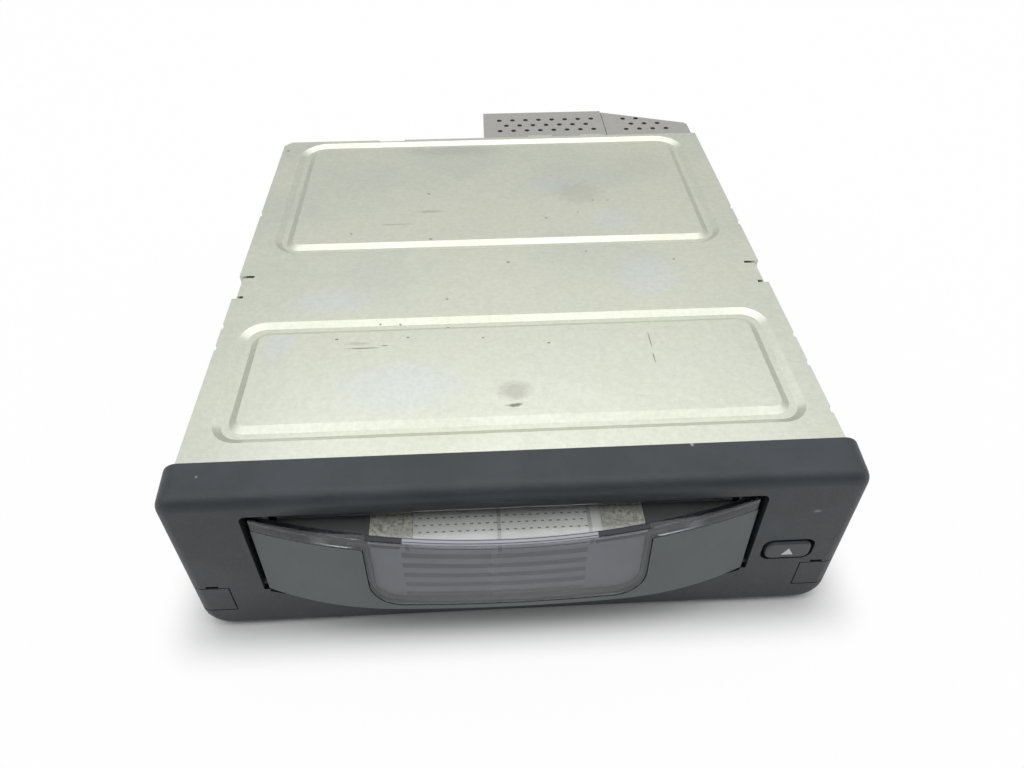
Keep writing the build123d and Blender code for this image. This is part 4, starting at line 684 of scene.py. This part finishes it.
# x span of the painted pale glow of the white insert on the lip.
painted_glow_x = (dash_x[0] - 0.8 * MM, dash_x[1] + 1.6 * MM)
window_x = (door_x - WINDOW_HALF + WINDOW_RIM, door_x + WINDOW_HALF - WINDOW_RIM)
wing_shade_z = [lens_high.z - depth for depth in WING_SHADE_BAND]


def lip_painted_shade_and_light(tree, shade):
    """The share of opaque paint on the lens, and its colour: painted shade, glow and shadow lines."""
    x, y, z = apart(tree, object_place(tree))
    off_middle = maths(tree, "SUBTRACT", x, door_x)
    across = maths(tree, "POWER", off_middle, 2.0)
    along = maths(tree, "POWER", maths(tree, "SUBTRACT", y, arc_y), 2.0)
    reach = maths(tree, "SQRT", maths(tree, "ADD", across, along))
    inward = maths(tree, "SUBTRACT", arc_radius, reach)
    lip_top = between(tree, z, lens_high.z - LIP_SKIN, lens_high.z + MM)
    left = between(tree, x, window_x[0], painted_glow_x[0])
    right = between(tree, x, painted_glow_x[1], window_x[1])
    lip_width = between(tree, inward, -MM, LIP_SHADE_DEPTH)
    lip_shade_ends = product(tree, greatest(tree, left, right), lip_width)
    # pale is the painted glow of the white insert seen through the lip's middle.
    pale = between(tree, x, *painted_glow_x)
    lip_shadow_lines = greatest(tree, *(between(tree, inward, *line) for line in LIP_SHADOW_LINES))
    # Painted shade of the dark room behind the outer part of each wing.
    painted_shade_wings = remap(tree, maths(tree, "ABSOLUTE", off_middle), *WING_SHADE_FADE)
    painted_shade_wings = product(tree, painted_shade_wings, between(tree, z, *wing_shade_z, soft=0.0003))
    # Painted shade on the wings, a painted pale glow of the insert, painted shadow lines on it and
    # painted shade at the lip's ends.
    layers = (
        (painted_shade_wings, 1.0, (26, 26, 32)),
        (pale, 1.0, (176, 176, 184)),
        (lip_shadow_lines, pale, (58, 56, 76)),
        (lip_shade_ends, 1.0, (14, 13, 34)),
    )
    shade = paint_layers(tree, shade, layers)
    share = greatest(tree, product(tree, lip_shade_ends, 0.9), product(tree, pale, 0.75))
    share = product(tree, share, lip_top)
    return greatest(tree, share, product(tree, painted_shade_wings, 0.7)), shade


finishes["smoked_clear"] = clear_material(
    "smoked_clear", linear(180, 184, 192), roughness=0.02, haze=0.008, paint=lip_painted_shade_and_light
)
top_plate_finish = clear_material(
    "clear_top", linear(252, 253, 254), roughness=0.03, haze=0.045
)
print("lip arc radius", round(arc_radius / MM), "mm")

# %% [markdown]
# ## Marks on the cover
# The pressed cover has its own copy of the sheet finish, with the handling marks of the
# real one: a grey rub near the front middle, a scuff at the left and dark specks. Every
# mark is a soft spot with a centre and a reach, in metres.

# %% Cover finish
top_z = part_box("top_cover")[1].z
front_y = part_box("top_cover")[0].y


def on_cover(x, y):
    """A point on the cover, x from the frame's middle and y back from its front edge, in mm."""
    return (x * MM, front_y + y * MM, top_z)


DIRT = (0.11, 0.10, 0.08)
RUB = (0.36, 0.35, 0.31)
FINGER = (0.47, 0.46, 0.41)
deep = 10 * MM
cover_marks = [
    (on_cover(1.1, 24.5), (0.0062, 0.0052, deep), 0.8, 0.5, RUB),
    (on_cover(0.9, 18.4), (0.0034, 0.0009, deep), 1.9, 0.75, DIRT),
    (on_cover(-44.5, 45.7), (0.0068, 0.00028, deep), 0.5, 0.9, DIRT),
    (on_cover(-38.2, 46.6), (0.0016, 0.0003, deep), 0.9, 0.8, DIRT),
    (on_cover(-46.5, 48.0), (0.0050, 0.0010, deep), 1.6, 0.4, RUB),
    (on_cover(44.4, 45.0), (0.00022, 0.0056, deep), 0.3, 0.75, DIRT),
    (on_cover(44.2, 36.5), (0.00026, 0.0034, deep), 0.6, 0.7, DIRT),
    (on_cover(-39.0, 117.0), (0.0090, 0.0007, deep), 1.0, 0.45, RUB),
    (on_cover(-26.0, 125.5), (0.0075, 0.0012, deep), 1.1, 0.5, RUB),
    (on_cover(-18.0, 176.0), (0.0300, 0.0070, deep), 1.2, 0.3, FINGER),
    (on_cover(33.0, 137.0), (0.0130, 0.0110, deep), 1.3, 0.3, FINGER),
    (on_cover(60.0, 158.0), (0.0200, 0.0160, deep), 1.3, 0.18, FINGER),
]
speck_places = (
    (-25.2, 106.3, 0.9), (-54.7, 111.3, 0.7), (2.3, 90.0, 0.9), (-19.0, 69.5, 0.7), (18.1, 118.5, 0.7),
    (30.7, 122.2, 0.6), (37.5, 130.8, 0.6), (43.0, 130.5, 0.6), (30.5, 95.4, 0.6), (60.9, 88.7, 0.7),
    (-26.7, 139.0, 0.9), (-40.3, 58.4, 0.6), (-33.9, 58.1, 0.6), (-18.6, 55.8, 0.9), (12.8, 45.3, 0.7),
    (-7.6, 48.8, 0.6), (-53.2, 50.4, 0.7), (-31.0, 50.2, 0.6), (-88.0, 179.0, 0.9),
)
for x, y, size in speck_places:
    cover_marks.append((on_cover(x, y), (size * MM, size * 0.7 * MM, deep), 0.7, 0.75, DIRT))
cool_patches = [
    (on_cover(42.8, 115.7), (0.0100, 0.0090, deep)),
    (on_cover(50.0, 80.0), (0.0150, 0.0170, deep)),
    (on_cover(22.6, 143.4), (0.0110, 0.0080, deep)),
    (on_cover(-31.5, 28.0), (0.0260, 0.0150, deep)),
    (on_cover(-57.3, 70.5), (0.0180, 0.0090, deep)),
    (on_cover(-70.5, 48.6), (0.0060, 0.0090, deep)),
]
cover_finish = coated_sheet(
    "cover_sheet", ZINC, 0.37, specks=False, marks=cover_marks, patches=cool_patches
)
rear_finish = coated_sheet("rear_sheet", linear(176, 176, 174), 0.5)
print(len(cover_marks), "marks on the cover")


# %% [markdown]
# ## Finishes onto the CAD nodes
# The record says which slot each node belongs to, so the finishes are handed out in one
# loop. The trim plate, the cover and the rear box have finishes of their own. The trim's
# has three small rubs, each with a centre in the shared frame and a reach.

# %% Hand out the finishes
def in_mm(x, y, z):
    return (x * MM, y * MM, z * MM)


record = frame["record"]
slot_of = {row["node"]: row["material_slot"] for row in record["subparts"]}
body_of = {name: body for body, names in record["behaviour"]["bodies"].items() for name in names}
trim_marks = [
    (in_mm(80.89, -108.65, 44.81), in_mm(1.6, 2.0, 0.9), 0.35),
    (in_mm(47.33, -95.24, 58.80), in_mm(0.6, 1.0, 2.0), 0.8),
    (in_mm(-82.91, -99.88, 58.80), in_mm(0.5, 0.5, 2.0), 0.5),
]
trim_finish = moulded("trim_shell", TRIM_GREY, 0.5, marks=trim_marks)
own_finish = {
    "front_trim": trim_finish,
    "top_cover": cover_finish,
    "rear_housing": rear_finish,
    "rear_shield": rear_finish,
}
for name, node in nodes.items():
    node.data.materials.clear()
    node.data.materials.append(own_finish.get(name, finishes[slot_of[name]]))
print("finished nodes:", len(nodes))


# %% [markdown]
# ## Softened edges
# Real mouldings and pressings have no razor edges. The pieces that the eye meets first
# are copied, their triangles are merged back into clean faces, and a bevel rounds every
# edge that turns more than a set angle. Inner corners stay sharp, so that no copy grows
# out of its solid; only the pressed cover is soft in its grooves too. The copy stands for
# the CAD node, which is hidden and stays in the frame.

# %% Soft copies
WELD_DISTANCE = 0.000004
FLAT_ANGLE = math.radians(0.4)
EDGE_ANGLE = math.radians(18.0)
BEVEL_SEGMENTS = 3


def soft_copy(name, width, inner=False):
    """A bevelled copy that stands for a node; inner also rounds its inner corners."""
    source = nodes[name]
    form = bmesh.new()
    form.from_mesh(source.data)
    bmesh.ops.remove_doubles(form, verts=form.verts, dist=WELD_DISTANCE)
    bmesh.ops.dissolve_limit(
        form, angle_limit=FLAT_ANGLE, verts=form.verts, edges=form.edges
    )
    bmesh.ops.connect_verts_concave(form, faces=form.faces)
    for face in form.faces:
        face.smooth = True
    weight = form.edges.layers.float.new("bevel_weight_edge")
    for edge in form.edges:
        turned = len(edge.link_faces) == 2 and edge.calc_face_angle() > EDGE_ANGLE
        edge[weight] = 1.0 if turned and (inner or edge.is_convex) else 0.0
    mesh = bpy.data.meshes.new("soft_" + name)
    form.to_mesh(mesh)
    form.free()
    mesh.materials.append(source.data.materials[0])
    piece = bpy.data.objects.new("soft_" + name, mesh)
    bpy.context.scene.collection.objects.link(piece)
    bevel = piece.modifiers.new("soft_edges", "BEVEL")
    bevel.width = width * MM
    bevel.segments = BEVEL_SEGMENTS
    bevel.limit_method = "WEIGHT"
    bevel.harden_normals = True
    weighted = piece.modifiers.new("flat_faces", "WEIGHTED_NORMAL")
    weighted.keep_sharp = True
    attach(piece, body_of[name])
    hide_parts(name)
    return piece


soft_widths = {
    "front_trim": 0.35,
    "top_cover": 0.7,
    "door_panel": 0.14,
    "door_lens": 0.35,
    "eject_button": 0.35,
    "corner_cover_left": 0.12,
    "corner_cover_right": 0.12,
}
for name, width in soft_widths.items():
    piece = soft_copy(name, width, inner=name == "top_cover")
    print(piece.name, len(piece.data.polygons), "faces")


# %% [markdown]
# ## The clear top of the door
# A thin clear plate is assumed to run back from the lip over the white insert. It catches
# the sky, and so the dark room behind the door looks grey from above, as it does in the
# photograph. A disc with the lip's arc is cut straight at the back and at both ends, then
# made thick.

# %% Clear top
PLATE_THICKNESS = 0.8 * MM
PLATE_BELOW_LIP = 1.7 * MM
PLATE_INSET = 1.9 * MM
PLATE_DEPTH = 12.6 * MM
PLATE_END_GAP = 7.5 * MM
ARC_STEPS = 720

plate_z = lens_high.z - PLATE_BELOW_LIP
side = door_half - PLATE_END_GAP
form = bmesh.new()
bmesh.ops.create_circle(
    form, cap_ends=True, segments=ARC_STEPS, radius=arc_radius - PLATE_INSET
)
bmesh.ops.translate(form, verts=form.verts, vec=(door_x, arc_y, plate_z))
cuts = (
    ((0, lens_low.y + PLATE_DEPTH, 0), (0, 1, 0)),
    ((door_x - side, 0, 0), (-1, 0, 0)),
    ((door_x + side, 0, 0), (1, 0, 0)),
)
for point, outward in cuts:
    everything = form.verts[:] + form.edges[:] + form.faces[:]
    bmesh.ops.bisect_plane(
        form, geom=everything, plane_co=point, plane_no=outward, clear_outer=True
    )
raised = bmesh.ops.extrude_face_region(form, geom=form.faces[:])
top_verts = [item for item in raised["geom"] if isinstance(item, bmesh.types.BMVert)]
bmesh.ops.translate(form, verts=top_verts, vec=(0, 0, PLATE_THICKNESS))
bmesh.ops.recalc_face_normals(form, faces=form.faces)
mesh = bpy.data.meshes.new("door_clear_top")
form.to_mesh(mesh)
form.free()
mesh.materials.append(top_plate_finish)
clear_top = bpy.data.objects.new("door_clear_top", mesh)
bpy.context.scene.collection.objects.link(clear_top)
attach(clear_top, body_of["door_lens"])
print("clear top has", len(mesh.polygons), "faces")

# %% [markdown]
# ## Floor, world and lamp
# The table is white and the light soft and from above. The world gives most of the
# light: bright overhead, weaker towards the back and dim on the camera's side. That dim
# patch is what makes the trim's rounded edge dark. The floor glows too. Its glow grows
# from nothing at the trim's footprint to nearly full a short way off, so painted light
# covers the outer part of the shadow and the contact shadow stays narrow.

# %% Floor
FLOOR_REACH = 12.0
FOOTPRINT = (0.092, 0.1087, 1.0)
GLOW_DISTANCE = 0.017
FULL_GLOW = 0.95

floor_mesh = bpy.data.meshes.new("floor")
form = bmesh.new()
bmesh.ops.create_grid(form, x_segments=1, y_segments=1, size=FLOOR_REACH)
form.to_mesh(floor_mesh)
form.free()
floor = bpy.data.objects.new("floor", floor_mesh)
bpy.context.scene.collection.objects.link(floor)
floor_material, tree, shader = start_material("table_white")
socket(shader, "Base Color", (0.86, 0.86, 0.86, 1.0))
socket(shader, "Roughness", 0.7)
glow = add(tree, "ShaderNodeEmission", Strength=1.0)
rays = add(tree, "ShaderNodeLightPath")
seen = maths(tree, "ADD", rays.outputs["Is Camera Ray"], rays.outputs["Is Glossy Ray"])
seen = maths(tree, "ADD", seen, rays.outputs["Is Transmission Ray"], clamp=True)
distance = object_place(tree)
steps = (
    ("ABSOLUTE", None),
    ("SUBTRACT", FOOTPRINT),
    ("MAXIMUM", (0, 0, 0)),
    ("LENGTH", None),
)
for operation, value in steps:
    step = add(tree, "ShaderNodeVectorMath", operation=operation)
    join(tree, distance, step.inputs[0])
    if value:
        step.inputs[1].default_value = value
    distance = step.outputs["Value" if operation == "LENGTH" else "Vector"]
# Painted light: the glow fades to nothing at the footprint, so the shadow is kept only close to it.
away = remap(tree, distance, 0.0, GLOW_DISTANCE, 0.0, FULL_GLOW)
mixer = add(tree, "ShaderNodeMixShader")
join(tree, maths(tree, "MULTIPLY", seen, away), mixer.inputs[0])
join(tree, shader.outputs[0], mixer.inputs[1])
join(tree, glow.outputs[0], mixer.inputs[2])
join(tree, mixer.outputs[0], tree.nodes["Material Output"].inputs["Surface"])
floor_mesh.materials.append(floor_material)
print("floor laid")

# %% World
# Each stop is a turn from straight behind (0) over the top (0.5) to the front (1), and a
# brightness.
SKY_STOPS = (
    (0.0, 0.55),
    (0.15, 0.75),
    (0.29, 0.95),
    (0.4, 1.15),
    (0.5, 2.0),
    (0.585, 2.6),
    (0.65, 1.0),
    (0.76, 0.25),
    (0.92, 0.4),
    (1.0, 0.7),
)
SKY_STRENGTH = 0.76

world = bpy.data.worlds.new("soft_day")
bpy.context.scene.world = world
world.use_nodes = True
tree = world.node_tree
background = tree.nodes["Background"]
direction = add(tree, "ShaderNodeTexCoord").outputs["Generated"]
towards = apart(tree, direction)
angle = maths(tree, "ARCTAN2", towards[2], towards[1])
turn = maths(tree, "DIVIDE", angle, math.pi)
ramp = add(tree, "ShaderNodeValToRGB")
join(tree, turn, ramp.inputs[0])
elements = ramp.color_ramp.elements
for element, (spot, level) in zip(elements, (SKY_STOPS[0], SKY_STOPS[-1])):
    element.position = spot
    element.color = (level, level, level, 1.0)
for spot, level in SKY_STOPS[1:-1]:
    element = elements.new(spot)
    element.color = (level, level, level, 1.0)
join(tree, ramp.outputs["Color"], background.inputs["Color"])
background.inputs["Strength"].default_value = SKY_STRENGTH
print("world has", len(SKY_STOPS), "stops")


# %% Lamp
LAMP_PLACE = (0.03, 0.4, 1.1)
LAMP_SIZE = 1.0
LAMP_POWER = 3.4

lamp = bpy.data.lights.new("ceiling_light", "AREA")
lamp.size = LAMP_SIZE
lamp.energy = LAMP_POWER
ceiling_light = bpy.data.objects.new("ceiling_light", lamp)
ceiling_light.location = LAMP_PLACE
ceiling_light.rotation_euler = (-Vector(LAMP_PLACE)).to_track_quat("-Z", "Y").to_euler()
bpy.context.scene.collection.objects.link(ceiling_light)
bpy.context.scene.view_settings.view_transform = "Standard"
print("lamp hung")
